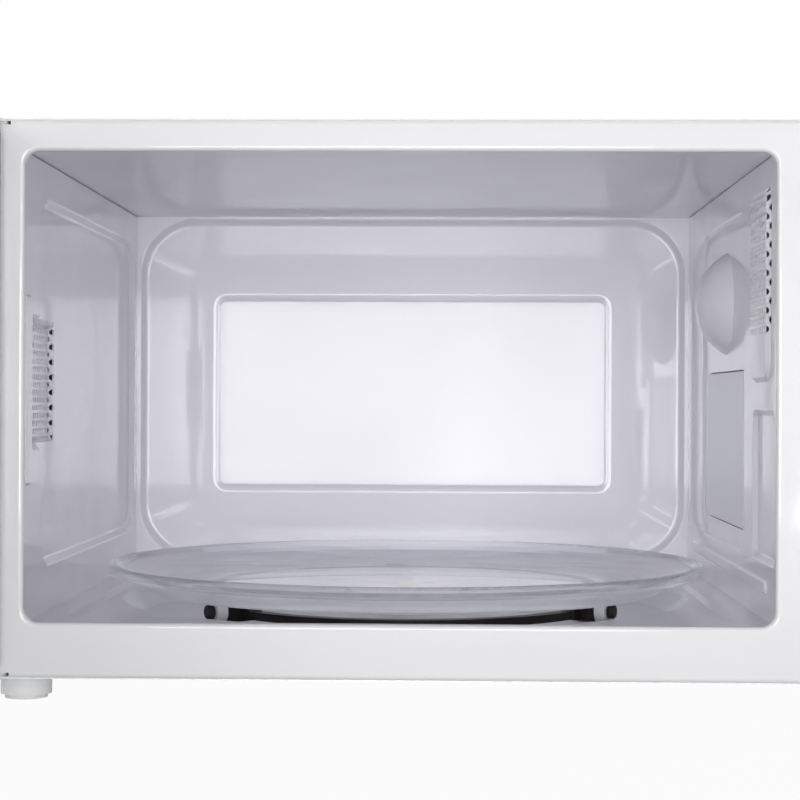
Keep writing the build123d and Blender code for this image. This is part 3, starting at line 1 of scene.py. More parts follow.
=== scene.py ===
# %% [markdown]
# # A freestanding microwave oven, seen into its open cavity
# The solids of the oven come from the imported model. This lesson gives them their finishes, adds the
# pieces that repeat by rule, such as springs and dial marks, and sets the camera and the light as in the
# photograph. Everything is in metres, in the frame of the model: +X to the right, +Y into the oven, +Z up.

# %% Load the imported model
import bpy
import math
from mathutils import Matrix, Vector


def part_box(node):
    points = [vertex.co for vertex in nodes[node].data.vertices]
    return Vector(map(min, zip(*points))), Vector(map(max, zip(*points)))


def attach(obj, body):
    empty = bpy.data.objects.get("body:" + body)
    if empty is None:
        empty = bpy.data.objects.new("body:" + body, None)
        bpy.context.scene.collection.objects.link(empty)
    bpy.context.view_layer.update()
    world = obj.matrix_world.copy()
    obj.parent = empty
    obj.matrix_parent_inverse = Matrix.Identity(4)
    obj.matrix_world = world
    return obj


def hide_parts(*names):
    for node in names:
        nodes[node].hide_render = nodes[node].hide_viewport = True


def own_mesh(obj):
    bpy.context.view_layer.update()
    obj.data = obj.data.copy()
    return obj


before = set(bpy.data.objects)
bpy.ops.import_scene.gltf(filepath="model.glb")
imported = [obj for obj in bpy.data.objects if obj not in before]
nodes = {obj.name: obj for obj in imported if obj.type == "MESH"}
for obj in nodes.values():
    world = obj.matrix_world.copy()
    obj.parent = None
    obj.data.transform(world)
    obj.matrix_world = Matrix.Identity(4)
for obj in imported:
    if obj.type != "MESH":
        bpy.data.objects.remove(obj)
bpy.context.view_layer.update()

# %% [markdown]
# ## Camera
# The photograph was taken from about 0.9 m in front of the oven, a little right of the middle of the
# opening and level with it. A lens of 89 mm on a 36 mm sensor gives its calm perspective. The place, a
# slight turn to the left and a roll of a quarter of a degree come from fitting the opening, the wall
# features and the glass plate to the picture. A constraint could aim the camera at a point, but the angles
# are known here, so one matrix sets place and angles together. Its tilt by 90 degrees makes the camera
# look along +Y instead of down.

# %% Camera
camera_place = Vector((-0.0311, -1.0796, 0.1406))
camera_data = bpy.data.cameras.new("view")
camera_data.sensor_width, camera_data.lens = 36.0, 89.23
camera_data.clip_start = 0.02
camera = bpy.data.objects.new("view", camera_data)
bpy.context.scene.collection.objects.link(camera)
turn = Matrix.Rotation(math.radians(1.36), 4, "Z")
tilt = Matrix.Rotation(math.radians(90.0), 4, "X")
roll = Matrix.Rotation(math.radians(0.24), 4, "Z")
camera.matrix_world = Matrix.Translation(camera_place) @ turn @ tilt @ roll
bpy.context.scene.camera = camera
print("camera at", [round(v, 4) for v in camera_place])

# %% [markdown]
# ## Shader maths as Python
# A finish is easier to read as an expression than as a list of links. `Wire` wraps one socket, and each
# operator on it adds a Math node. `Maker` has the one method that adds any other node, and it serves
# shader trees and geometry trees alike. `Finish` is a maker for one material: it starts with a Principled
# shader, sets what is the same all over on the shader's own sockets, and links what varies.

# %% Wires
class Wire:
    """One output socket of a node tree. An operator on it adds a Math node."""

    def __init__(self, maker, socket):
        self.maker, self.socket = maker, socket

    def math(self, operation, first, second):
        return self.maker.node("ShaderNodeMath", {"operation": operation}, {0: first, 1: second})

    def larger(self, other):
        return self.math("MAXIMUM", self, other)

    def __add__(self, other):
        return self.math("ADD", self, other)

    __radd__ = __add__

    def __sub__(self, other):
        return self.math("SUBTRACT", self, other)

    def __rsub__(self, other):
        return self.math("SUBTRACT", other, self)

    def __mul__(self, other):
        return self.math("MULTIPLY", self, other)

    __rmul__ = __mul__

    def __lt__(self, other):
        return self.math("LESS_THAN", self, other)


# %% Makers
class Maker:
    """Adds nodes to a tree: a type, settings that are set first, then values or links of its sockets."""

    def __init__(self, tree):
        self.tree = tree

    def node(self, kind, settings=None, values=None, out=0):
        made = self.tree.nodes.new(kind)
        for key, value in (settings or {}).items():
            setattr(made, key, value)
        for key, value in (values or {}).items():
            if isinstance(value, Wire):
                self.tree.links.new(value.socket, made.inputs[key])
            else:
                made.inputs[key].default_value = value
        return Wire(self, made.outputs[out])

    def ray(self, name):
        """One of Light Path's yes-or-no answers about the ray that arrives."""
        return Wire(self, self.tree.nodes.new("ShaderNodeLightPath").outputs[name])

    def background_ray(self):
        """1 for a ray that shows the background: from the camera, from a mirror or through glass."""
        kinds = ("Camera", "Glossy", "Transmission")
        camera, mirror, glass = (self.ray(f"Is {kind} Ray") for kind in kinds)
        return camera.larger(mirror.larger(glass))


# %% Finishes
def colour4(value):
    """Adds the fourth number that a colour socket wants. A wire passes as it is."""
    return (*value, 1.0) if isinstance(value, tuple) and len(value) == 3 else value


def shade(colour, factor):
    """The same colour, lighter or darker."""
    return tuple(min(1.0, factor * c) for c in colour)


class Finish(Maker):
    """A material with one Principled shader. Constants sit on its own sockets."""

    def __init__(self, name, **constants):
        self.material = bpy.data.materials.new(name)
        self.material.use_nodes = True
        super().__init__(self.material.node_tree)
        self.tree.nodes.clear()
        self.principled = self.tree.nodes.new("ShaderNodeBsdfPrincipled")
        self.output = self.tree.nodes.new("ShaderNodeOutputMaterial")
        self.surface = Wire(self, self.principled.outputs[0])
        self.show(self.surface)
        for key, value in constants.items():
            self.set(key.replace("_", " "), value)

    def show(self, shader):
        self.tree.links.new(shader.socket, self.output.inputs[0])

    def set(self, name, value):
        socket = self.principled.inputs[name]
        if isinstance(value, Wire):
            self.tree.links.new(value.socket, socket)
        else:
            socket.default_value = colour4(value)

    def place(self, scale=(1.0, 1.0, 1.0)):
        """Object coordinates in metres, stretched by a scale."""
        spot = self.node("ShaderNodeTexCoord", out=3)
        return self.node("ShaderNodeMapping", {}, {"Vector": spot, "Scale": scale})

    def noise(self, scale, detail=2.0, where=None):
        """Even noise around 0.5. The scale is in waves per metre."""
        values = {"Vector": where or self.place(), "Scale": scale, "Detail": detail}
        return self.node("ShaderNodeTexNoise", {}, values)

    def blend(self, mask, first, second):
        """A colour between two colours, by a mask from 0 to 1."""
        values = {0: mask, 6: colour4(first), 7: colour4(second)}
        return self.node("ShaderNodeMix", {"data_type": "RGBA"}, values, 2)

    def tone(self, mask, colour, spread):
        """The base colour, darker and lighter by a share where the mask is low and high."""
        self.set("Base Color", self.blend(mask, shade(colour, 1 - spread), shade(colour, 1 + spread)))

    def bump(self, height, distance):
        """Relief without geometry. The distance, in metres, is how far height 1 stands out."""
        self.set("Normal", self.node("ShaderNodeBump", {}, {"Height": height, "Distance": distance}))

    def mix_shader(self, factor, first, second):
        return self.node("ShaderNodeMixShader", {}, {0: factor, 1: first, 2: second})


# %% [markdown]
# ## The light of the picture
# A wide soft light stands behind the camera. Its mirror image fills the pressed rectangle in the middle of
# the back panel. A flat mirror shows the camera as if it stood behind the panel, so the light's place and
# size are that rectangle, enlarged along the lines from the camera's own mirror image. Two large lights
# high to the sides and a pale room give the even part. Two narrow upright lights draw the bright lines
# along the rounded folds of the pressed sheets. A high and a low fill lift the frame and the walls, and
# soft lights above, behind and beside the oven show its case in its own colour from every side. The fills
# and these last lights are kept out of mirror images, so that the enamel shows one clean rectangle.

# %% Soft lights
def soft_light(name, place, target, size, power, mirrored=True):
    """A rectangular light that faces the target. The camera never sees it. Mirrors do if mirrored is set."""
    data = bpy.data.lights.new(name, "AREA")
    data.shape, data.size, data.size_y, data.energy = "RECTANGLE", *size, power
    lamp = bpy.data.objects.new(name, data)
    bpy.context.scene.collection.objects.link(lamp)
    lamp.location = place
    lamp.rotation_euler = (Vector(target) - Vector(place)).to_track_quat("-Z", "Z").to_euler()
    lamp.visible_camera, lamp.visible_glossy = False, mirrored


# %% Lights of the scene
window_centre, window_size = Vector((-0.0528, 0.1534, 0.1448)), (0.239, 0.115)
light_y = -1.45
mirrored_camera = Vector((camera_place.x, 2 * window_centre.y - camera_place.y, camera_place.z))
reach = (mirrored_camera.y - light_y) / (mirrored_camera.y - window_centre.y)
light_place = mirrored_camera + (window_centre - mirrored_camera) * reach
front_size = tuple(side * reach for side in window_size)
straight_in = light_place + Vector((0, 1, 0))

# Each light has a name, a place, a target, a width and height, and a power in watts.
soft_light("front_softbox", light_place, straight_in, front_size, 3.6)
soft_light("high_softbox", (-0.2, -1.9, 0.6), (-0.05, 0.0, 0.15), (1.3, 0.4), 2.6, mirrored=False)
soft_light("low_fill", (-0.02, -1.3, 0.07), (-0.12, 0.0, 0.08), (0.9, 0.1), 1.65, mirrored=False)
soft_light("left_softbox", (-1.6, -1.6, 1.3), (0, 0, 0.1), (1.2, 1.2), 3.8)
soft_light("right_softbox", (1.6, -1.5, 1.3), (0, 0, 0.1), (1.2, 1.2), 3.2)
soft_light("top_softbox", (0.1, 0.5, 1.9), (0, 0, 0.1), (1.6, 1.6), 8.5, mirrored=False)
soft_light("rear_softbox", (0.0, 2.2, 0.9), (0, 0, 0.1), (1.6, 1.2), 12.0, mirrored=False)
soft_light("left_side_softbox", (-2.1, 0.5, 0.7), (0, 0, 0.1), (1.2, 1.0), 9.0, mirrored=False)
soft_light("right_side_softbox", (2.1, 0.5, 0.7), (0, 0, 0.1), (1.2, 1.0), 9.0, mirrored=False)
soft_light("left_strip", (-0.66, -1.45, 0.2), (-0.05, 0.15, 0.15), (0.2, 0.6), 3.4)
soft_light("right_strip", (0.52, -1.45, 0.2), (-0.05, 0.15, 0.15), (0.2, 0.6), 2.9)
print("front light", [round(v, 3) for v in light_place], "size", [round(v, 3) for v in front_size])

# %% [markdown]
# ## The room
# The picture is a cut-out on white. The world lights the oven only a little, and the soft lights do the
# rest. Only rays that come from the camera, from a mirror or through glass see it as full white. The view
# transform is Standard, so that a colour renders about as it is written.

# %% Room
world = bpy.data.worlds.new("room")
bpy.context.scene.world = world
world.use_nodes = True
room = Maker(world.node_tree)
world.node_tree.nodes.clear()
room_level = 0.14
strength = room.background_ray() * (1 - room_level) + room_level
background = room.node("ShaderNodeBackground", {}, {"Color": (1, 1, 1, 1), "Strength": strength})
world_output = world.node_tree.nodes.new("ShaderNodeOutputWorld")
world.node_tree.links.new(background.socket, world_output.inputs[0])
bpy.context.scene.view_settings.view_transform = "Standard"
print("room lights the oven at", room_level)

# %% [markdown]
# ## The worktop
# The oven stands on a plain surface. It is pale grey where it throws light back onto the oven. For a ray
# that shows the background its material mixes in a white glow, as in the cut-out, and the small share of
# grey that is left carries a faint shadow. A shadow catcher could do the same, but only over a transparent
# picture that is laid on white afterwards.

# %% Worktop
worktop_mesh = bpy.data.meshes.new("worktop")
half_side = 4.0
signs = ((-1, -1), (1, -1), (1, 1), (-1, 1))
worktop_mesh.from_pydata([(half_side * x, half_side * y, 0) for x, y in signs], [], [(0, 1, 2, 3)])
worktop = bpy.data.objects.new("worktop", worktop_mesh)
bpy.context.scene.collection.objects.link(worktop)
glow_share = 0.96
top = Finish("worktop_white", Base_Color=(0.45, 0.45, 0.45), Roughness=0.8)
glow = top.node("ShaderNodeEmission", {}, {"Color": (1, 1, 1, 1), "Strength": 1.0})
top.show(top.mix_shader(top.background_ray() * glow_share, top.surface, glow))
worktop_mesh.materials.append(top.material)
print("worktop laid")


# %% [markdown]
# ## Enamel and paint
# The cavity and the front frame are sheet steel with a fired or baked gloss coat. Such a coat mirrors
# clearly but is never quite flat: a fine ripple, called orange peel, softens the mirror images. A noise of
# about 3 mm drives a very shallow bump, and slow noises vary the tone and the gloss a little. A picture of
# paint could be mapped on instead, but noise in object coordinates needs no unwrapping and has no seams.
# The floor and the ceiling of the cavity are less glossy than its walls. Their colour is a darker copy of
# the walls' enamel, which is painted shade, because less light falls on them.

# %% Enamel and paint
def gloss_paint(name, colour, roughness, coat_roughness, peel, coat=1.0, streak=(1, 1, 1), spread=0.02):
    """peel is the depth of the ripple in metres. coat is the mean strength of the clear gloss."""
    ripples_per_metre = 330.0
    paint = Finish(name, Coat_Roughness=coat_roughness, Coat_IOR=1.5)
    paint.tone(paint.noise(9.0, 3.0, paint.place(streak)), colour, spread)
    paint.set("Coat Weight", coat * (paint.noise(7.0, 2.0) * 0.9 + 0.45))
    paint.set("Roughness", paint.noise(40.0) * 0.08 + (roughness - 0.04))
    paint.bump(paint.noise(ripples_per_metre, 1.0), peel)
    return paint.material


cavity_enamel = gloss_paint("cavity_enamel", (0.855, 0.845, 0.90), 0.4, 0.045, 0.000008)
# The frame's tone varies more strongly and in stretched streaks: partly the paint's own uneven tone, partly
# painted reflection streaks.
frame_enamel = gloss_paint(
    "frame_enamel", (0.83, 0.83, 0.85), 0.3, 0.06, 0.000012, streak=(0.4, 1.0, 3.0), spread=0.05
)
# Floor and ceiling: the walls' enamel made darker as painted shade, and with a weaker coat.
floor_enamel = gloss_paint("floor_enamel", (0.77, 0.765, 0.825), 0.4, 0.07, 0.000008, coat=0.5)
case_paint = gloss_paint("case_paint", (0.80, 0.80, 0.81), 0.42, 0.3, 0.00008, coat=0.4)
print("paints mixed")


# %% [markdown]
# ## Steel
# Zinc-plated steel shows the grain of its rolling, so its noise is stretched along the sheet. The fan
# motor's and the transformer's iron are stacks of thin blackened plates, for which the same function gets
# a much finer grain along one axis. Drawn aluminium, spring wire and the magnets' dark ferrite come from
# it too. One function serves them all, because they differ only in their colour and their grain.

# %% Steel
def plated_steel(name, colour=(0.56, 0.57, 0.58), grain=(6.0, 300.0, 300.0)):
    """grain says how finely the noise runs along each axis."""
    metal = Finish(name, Metallic=1.0)
    streak = metal.noise(4.0, 4.0, metal.place(grain))
    metal.tone(metal.noise(35.0, 3.0), colour, 0.14)
    metal.set("Roughness", streak * 0.22 + 0.24)
    metal.bump(streak, 0.00003)
    return metal.material


steel = plated_steel("plated_steel")
spring_wire = plated_steel("spring_wire", (0.5, 0.5, 0.52), (90.0, 90.0, 90.0))
lamination_steel = plated_steel("lamination_steel", (0.17, 0.17, 0.19), (1500.0, 4.0, 4.0))
aluminium = plated_steel("aluminium", (0.78, 0.78, 0.8), (200.0, 8.0, 200.0))
ferrite = plated_steel("ferrite", (0.05, 0.05, 0.055), (200.0, 200.0, 200.0))
print("metals made")


# %% [markdown]
# ## Plastics
# A moulded surface copies the fine spark-eroded texture of its mould. That texture is far too fine to
# model, so a bump from fine noise stands for it. Thick natural nylon also lets some light in, which
# subsurface scattering gives. The black turntable ring hardly shines, so its surface reflection is turned
# down.

# %% Plastics
def moulded(name, colour, roughness=0.42, texture=0.00003, depth=0.0, shine=0.5):
    """depth is the share of light that enters. shine is the strength of the surface reflection."""
    plastic = Finish(name, Subsurface_Weight=depth, Subsurface_Scale=0.003, Specular_IOR_Level=shine)
    plastic.tone(plastic.noise(14.0, 3.0), colour, 0.04)
    plastic.set("Roughness", plastic.noise(60.0) * 0.1 + (roughness - 0.05))
    plastic.bump(plastic.noise(1500.0), texture)
    return plastic.material


white_plastic = moulded("white_plastic", (0.80, 0.80, 0.81), 0.33)
knob_plastic = moulded("knob_plastic", (0.74, 0.74, 0.755), 0.26)
grey_plastic = moulded("grey_plastic", (0.33, 0.34, 0.36), 0.45)
black_plastic = moulded("black_plastic", (0.018, 0.017, 0.018), 0.36)
ring_plastic = moulded("ring_plastic", (0.012, 0.009, 0.009), 0.3, shine=0.2)
nylon = moulded("nylon", (0.70, 0.70, 0.66), 0.4, 0.00002, 0.15)
foot_plastic = moulded("foot_plastic", (0.88, 0.88, 0.89), 0.6, 0.0001)
dial_ink = moulded("dial_ink", (0.10, 0.10, 0.11), 0.5, 0.00001)
print("plastics made")

# %% [markdown]
# ## Roller wheels
# Each wheel is a light grey tread with a dark cap over its axle's end. Two materials would mean that the
# wheel's mesh is split. The solid is one piece and stays so, and the cap is a mask in its finish: a point
# counts as cap where it is closer to the axle's line than the cap's radius. That line runs outwards from
# the ring's middle, at the height of the axles.

# %% Roller wheels
ring_centre = Vector((-0.053, -0.018, 0.0))
axle_height = 0.0335
cap_radius = 0.0034


def wheel_finish(name, angle):
    """angle is the direction of the wheel's axle in the plan, in degrees."""
    wheel = Finish(name, Specular_IOR_Level=0.3)
    spot = wheel.node("ShaderNodeTexCoord", out=3)
    outward = (math.cos(math.radians(angle)), math.sin(math.radians(angle)), 0.0)
    hub = ring_centre + Vector((0, 0, axle_height))
    away = wheel.node("ShaderNodeVectorMath", {"operation": "SUBTRACT"}, {0: spot, 1: hub})
    along = wheel.node("ShaderNodeVectorMath", {"operation": "DOT_PRODUCT"}, {0: away, 1: outward}, 1)
    length = wheel.node("ShaderNodeVectorMath", {"operation": "LENGTH"}, {0: away}, 1)
    from_axle = length * length - along * along
    cap = from_axle < cap_radius**2
    light = wheel.blend(wheel.noise(60.0), (0.46, 0.47, 0.49), (0.52, 0.53, 0.55))
    wheel.set("Base Color", wheel.blend(cap, light, (0.012, 0.011, 0.012)))
    wheel.set("Roughness", wheel.noise(90.0) * 0.1 + 0.3)
    return wheel.material


wheel_angles = {"roller_wheel_1": -145.6, "roller_wheel_2": -25.6, "roller_wheel_3": 94.4}
wheel_finishes = {name: wheel_finish(name + "_nylon", angle) for name, angle in wheel_angles.items()}
print("wheels", list(wheel_finishes))

# %% [markdown]
# ## Mica, board and copper
# The waveguide's cover is pressed mica, a pale sheet with flakes that catch the light differently. A
# Voronoi pattern gives each flake its own value, which then moves the colour, the roughness and a very
# shallow bump. The filter's board has a woven base, the enamelled copper of the windings lies in turns,
# and a wave pattern draws both.

# %% Mica
flakes_per_metre = 260.0
mica = Finish("mica_cover")
flat_flakes = {"Vector": mica.place((1.0, 1.0, 1.6)), "Scale": flakes_per_metre}
flake = mica.node("ShaderNodeTexVoronoi", {}, flat_flakes, 1)
flake_value = mica.node("ShaderNodeSeparateColor", {}, {0: flake})
mica.set("Base Color", mica.blend(flake_value, (0.90, 0.90, 0.94), (0.93, 0.93, 0.97)))
mica.set("Roughness", flake_value * 0.06 + 0.28)
mica.bump(flake_value, 0.0000015)
print("mica flakes per metre", flakes_per_metre)

# %% Board and copper
board = Finish("filter_board")
weave = board.node("ShaderNodeTexWave", {}, {"Vector": board.place(), "Scale": 500.0, "Distortion": 0.6})
board.set("Base Color", board.blend(weave, (0.42, 0.29, 0.11), (0.50, 0.36, 0.15)))
board.set("Roughness", weave * 0.1 + 0.4)

copper = Finish("enamelled_copper", Metallic=0.85, Coat_Weight=0.6, Coat_Roughness=0.15)
turns = copper.node(
    "ShaderNodeTexWave", {"bands_direction": "Z"}, {"Vector": copper.place(), "Scale": 160.0}
)
# The colour is dark in the grooves between turns and bright on them: painted shade and painted highlight of
# the round wire, over the copper's own colour.
copper.set("Base Color", copper.blend(turns, (0.30, 0.10, 0.04), (0.66, 0.30, 0.13)))
copper.set("Roughness", turns * 0.15 + 0.25)
copper.bump(turns, 0.0004)
print("board and copper made")


# %% [markdown]
# ## Glass
# The plate is clear tempered soda-lime glass. Its walls are thin with parallel faces, so where they are
# looked at squarely they hardly bend the picture, and a plain see-through surface stands for most of them.
# Towards its outlines the true bending and mirroring glass takes over and draws the bright and dark lines
# of the rim. Layer Weight's Facing gives that share, because it says the same inside the glass as outside,
# where a Fresnel node would turn the inner faces dark. A ray that only looks for light passes straight
# through, so that the plate doesn't throw the hard dark shadow that plain refraction gives.

# %% Glass
def clear_glass(name, colour, edge, bent):
    """edge sets how soon bending takes over towards an outline, bent its share where seen squarely."""
    glass = Finish(name, Transmission_Weight=1.0, IOR=1.45, Roughness=0.0)
    glass.tone(glass.noise(12.0), colour, 0.01)
    through = glass.node("ShaderNodeBsdfTransparent", {}, {"Color": colour4(colour)})
    outline = glass.node("ShaderNodeLayerWeight", {}, {"Blend": edge}, 1)
    clear = glass.mix_shader(outline * (1 - bent) + bent, through, glass.surface)
    glass.show(glass.mix_shader(glass.ray("Is Shadow Ray"), clear, through))
    return glass.material


plate_glass = clear_glass("plate_glass", (0.965, 0.97, 0.98), 0.32, 0.2)
lamp_glass = clear_glass("lamp_glass", (0.97, 0.97, 0.97), 0.3, 0.5)
print("clear glass made")


# %% [markdown]
# ## The door's panes and screen
# The door has a tinted outer pane and a thin inner film, both glossy. Between them a black sheet with rows
# of fine holes keeps the microwaves in: a hole of 1.4 mm every 2.1 mm. Cutting some ten thousand holes
# would be heavy, so a repeating round mask makes the sheet see-through there. The door is stored open, so
# the mask turns the coordinates back about the hinge first.

# %% Panes
def tinted_pane(name, colour, opacity, roughness):
    """A sheet that covers what is behind it by its opacity, with a faint smear in it."""
    pane = Finish(name, Base_Color=colour, Coat_Weight=1.0, Coat_Roughness=0.02)
    smear = pane.noise(16.0, 3.0)
    pane.set("Alpha", smear * 0.04 + (opacity - 0.02))
    pane.set("Roughness", smear * 0.06 + roughness)
    return pane.material


window_glass = tinted_pane("window_glass", (0.012, 0.012, 0.014), 0.72, 0.04)
film = tinted_pane("inner_film", (0.10, 0.10, 0.105), 0.32, 0.08)
print("panes tinted")

# %% Door screen
hinge_place, door_angle = (-0.240, -0.193, 0.0), math.radians(100.0)
screen = Finish("door_screen", Metallic=0.3)
spot = screen.node("ShaderNodeTexCoord", out=3)
turned = screen.node(
    "ShaderNodeVectorRotate",
    {"rotation_type": "Z_AXIS"},
    {"Vector": spot, "Center": hinge_place, "Angle": door_angle},
)
hole_pitch, hole_radius = 0.0021, 0.0007
holes_per_metre = (1 / hole_pitch, 0.0, 1 / hole_pitch)
counts = screen.node("ShaderNodeVectorMath", {"operation": "MULTIPLY"}, {0: turned, 1: holes_per_metre})
cell = screen.node("ShaderNodeVectorMath", {"operation": "FRACTION"}, {0: counts})
centred = screen.node("ShaderNodeVectorMath", {"operation": "SUBTRACT"}, {0: cell, 1: (0.5, 0.0, 0.5)})
from_middle = screen.node("ShaderNodeVectorMath", {"operation": "LENGTH"}, {0: centred}, 1)
hole = from_middle < hole_radius / hole_pitch
screen.set("Alpha", 1 - hole)
screen.set("Roughness", screen.noise(80.0) * 0.1 + 0.4)
screen.tone(screen.noise(40.0), (0.012, 0.012, 0.013), 0.2)
print("screen holes every", hole_pitch, "m")

# %% [markdown]
# ## Finishes onto the solids
# Every solid keeps its shape and gets the finish of its real material. A table of names shows at a glance
# which finish a piece has. What isn't listed here is plated steel, such as the base, the screws, the shafts
# and the hinge pins.

# %% Finishes onto the solids
finishes = {
    "front_frame": frame_enamel,
    "hinge_plates": frame_enamel,
    # Floor and ceiling take the darker enamel, whose colour is painted shade.
    "cavity_floor": floor_enamel,
    "cavity_ceiling": floor_enamel,
    "cavity_left_wall": cavity_enamel,
    "cavity_right_wall": cavity_enamel,
    "cavity_back_panel": cavity_enamel,
    "waveguide_cover": mica.material,
    "outer_case": case_paint,
    "control_panel": white_plastic,
    "door_outer_frame": white_plastic,
    "release_button": knob_plastic,
    "timer_knob": knob_plastic,
    "power_knob": knob_plastic,
    "door_window": window_glass,
    "door_inner_film": film,
    "door_screen": screen.material,
    "door_steel_panel": frame_enamel,
    "door_choke_cover": grey_plastic,
    "glass_plate": plate_glass,
    "oven_lamp": lamp_glass,
    "roller_ring": ring_plastic,
    "feet": foot_plastic,
    "cord_gland": black_plastic,
    "interlock_switches": black_plastic,
    "thermal_cutout": black_plastic,
    "high_voltage_diode": black_plastic,
    "timer_unit": grey_plastic,
    "power_selector": grey_plastic,
    "magnetron_magnets": ferrite,
    "magnetron_tube": aluminium,
    "capacitor": aluminium,
    "transformer_core": lamination_steel,
    "fan_motor": lamination_steel,
    "transformer_windings": copper.material,
    "noise_filter": board.material,
}
finishes.update(wheel_finishes)
nylon_names = (
    "turntable_coupler door_latch release_lever latch_bracket "
    "fan_shroud fan_blade air_duct lamp_holder"
)
finishes.update({name: nylon for name in nylon_names.split()})
for name, piece in nodes.items():
    piece.data.materials.clear()
    piece.data.materials.append(finishes.get(name, steel))
print("finished", len(nodes), "solids,", len(nodes) - len(finishes), "of them in plated steel")

# %% [markdown]
# ## Patterns that repeat
# Coils and dial marks follow a rule, so Geometry Nodes make them. `Pattern` holds one such tree. Its sizes
# are named inputs, and `make` evaluates the tree, keeps the result as a plain mesh and moves the mesh,
# not the object, into place. The copies are realized and get their material inside the tree, because a
# plain mesh can't hold instances.

# %% Patterns
class Pattern(Maker):
    """A geometry tree with named sizes, which ends as a plain mesh with one finish."""

    def __init__(self, name):
        super().__init__(bpy.data.node_groups.new(name, "GeometryNodeTree"))
        self.name, self.values = name, {}
        self.tree.interface.new_socket("Shape", in_out="OUTPUT", socket_type="NodeSocketGeometry")
        self.inputs = self.tree.nodes.new("NodeGroupInput")
        self.outputs = self.tree.nodes.new("NodeGroupOutput")

    def size(self, name, value, kind="NodeSocketFloat"):
        made = self.tree.interface.new_socket(name, in_out="INPUT", socket_type=kind)
        self.values[made.identifier] = value
        return Wire(self, self.inputs.outputs[name])

    def make(self, shape, finish, place):
        whole = self.node("GeometryNodeRealizeInstances", {}, {0: shape})
        done = self.node("GeometryNodeSetMaterial", {}, {0: whole, "Material": finish})
        self.tree.links.new(done.socket, self.outputs.inputs[0])
        piece = bpy.data.objects.new(self.name, bpy.data.meshes.new(self.name))
        bpy.context.scene.collection.objects.link(piece)
        modifier = piece.modifiers.new("pattern", "NODES")
        modifier.node_group = self.tree
        for identifier, value in self.values.items():
            modifier[identifier] = value
        graph = bpy.context.evaluated_depsgraph_get()
        mesh = bpy.data.meshes.new_from_object(piece.evaluated_get(graph))
        piece.modifiers.clear()
        mesh.transform(place)
        piece.data = mesh
        print(self.name, len(mesh.polygons), "faces")
        return piece


# %% [markdown]
# ## Coil springs
# The door latch is held down by a small upright spring, and a second spring round the release lever's shaft
# brings the lever back. Both are wound from round wire. A spiral curve with a circle as its profile is the
# simplest true coil. A Screw modifier could wind it too, but the tree keeps its turns, radius and length as
# named sizes. Each coil takes the place of a plain sleeve of its outer size. In the oven the upright one is
# squashed as the latch rises; here it keeps one length.

# %% Coil springs
def coil(name, turn_count, outer_radius, length, wire, place):
    """A spring along +Z of its own. wire is the wire's diameter, and place moves the finished coil."""
    pattern = Pattern(name)
    radius = pattern.size("Middle radius", outer_radius - wire / 2)
    count = pattern.size("Turns", turn_count)
    height = pattern.size("Length", length - wire)
    thickness = pattern.size("Wire radius", wire / 2)
    windings = {"Rotations": count, "Start Radius": radius, "End Radius": radius, "Height": height}
    spiral = pattern.node("GeometryNodeCurveSpiral", {}, {"Resolution": 20, **windings})
    section = pattern.node("GeometryNodeCurvePrimitiveCircle", {}, {"Resolution": 8, "Radius": thickness})
    swept = pattern.node(
        "GeometryNodeCurveToMesh", {}, {"Curve": spiral, "Profile Curve": section, "Fill Caps": True}
    )
    smooth = pattern.node("GeometryNodeSetShadeSmooth", {}, {0: swept})
    return pattern.make(smooth, spring_wire, place @ Matrix.Translation((0, 0, wire / 2)))


def corners_of(node):
    """The lowest corner, the highest corner and the middle of a node's box."""
    low, high = (Vector(corner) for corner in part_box(node))
    return low, high, (low + high) / 2


# %% Both springs
low, high, middle = corners_of("latch_spring")
latch_coil = coil(
    "latch_coil", 9.0, (high.x - low.x) / 2, high.z - low.z, 0.0008,
    Matrix.Translation((middle.x, middle.y, low.z)),
)
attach(latch_coil, "door")
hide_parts("latch_spring")
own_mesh(latch_coil)

low, high, middle = corners_of("release_spring")
lever_coil = coil(
    "lever_coil", 5.0, (high.z - low.z) / 2, high.x - low.x, 0.0011,
    Matrix.Translation((low.x, middle.y, middle.z)) @ Matrix.Rotation(math.radians(90.0), 4, "Y"),
)
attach(lever_coil, "oven")
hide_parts("release_spring")

# %% [markdown]
# ## Dial marks
# The timer dial is printed with a line for each minute and a longer one each five minutes, over the 310
# degrees that its knob turns. The power dial has dots that grow, over its 240 degrees. Such print is less
# than a tenth of a millimetre thick. It could be painted by a mask too, but thin marks of their own stay
# sharp close up. One mark is made once and copied round the dial on points, each turned by its index.

# %% Dial marks
printed_face_depth = 0.0012
panel_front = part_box("control_panel")[0][1] + printed_face_depth
print_height = 0.00008
timer_sweep, power_sweep = 310.0, 240.0
last_minute = 30
to_front = Matrix.Rotation(math.radians(90.0), 4, "X")


def line(length, width):
    """A straight mark: the node that makes it, and its sizes."""
    return "GeometryNodeMeshCube", {}, {"Size": (width, length, print_height)}


def dot(radius):
    """A round mark."""
    return "GeometryNodeMeshCylinder", {}, {"Vertices": 20, "Radius": radius, "Depth": print_height}


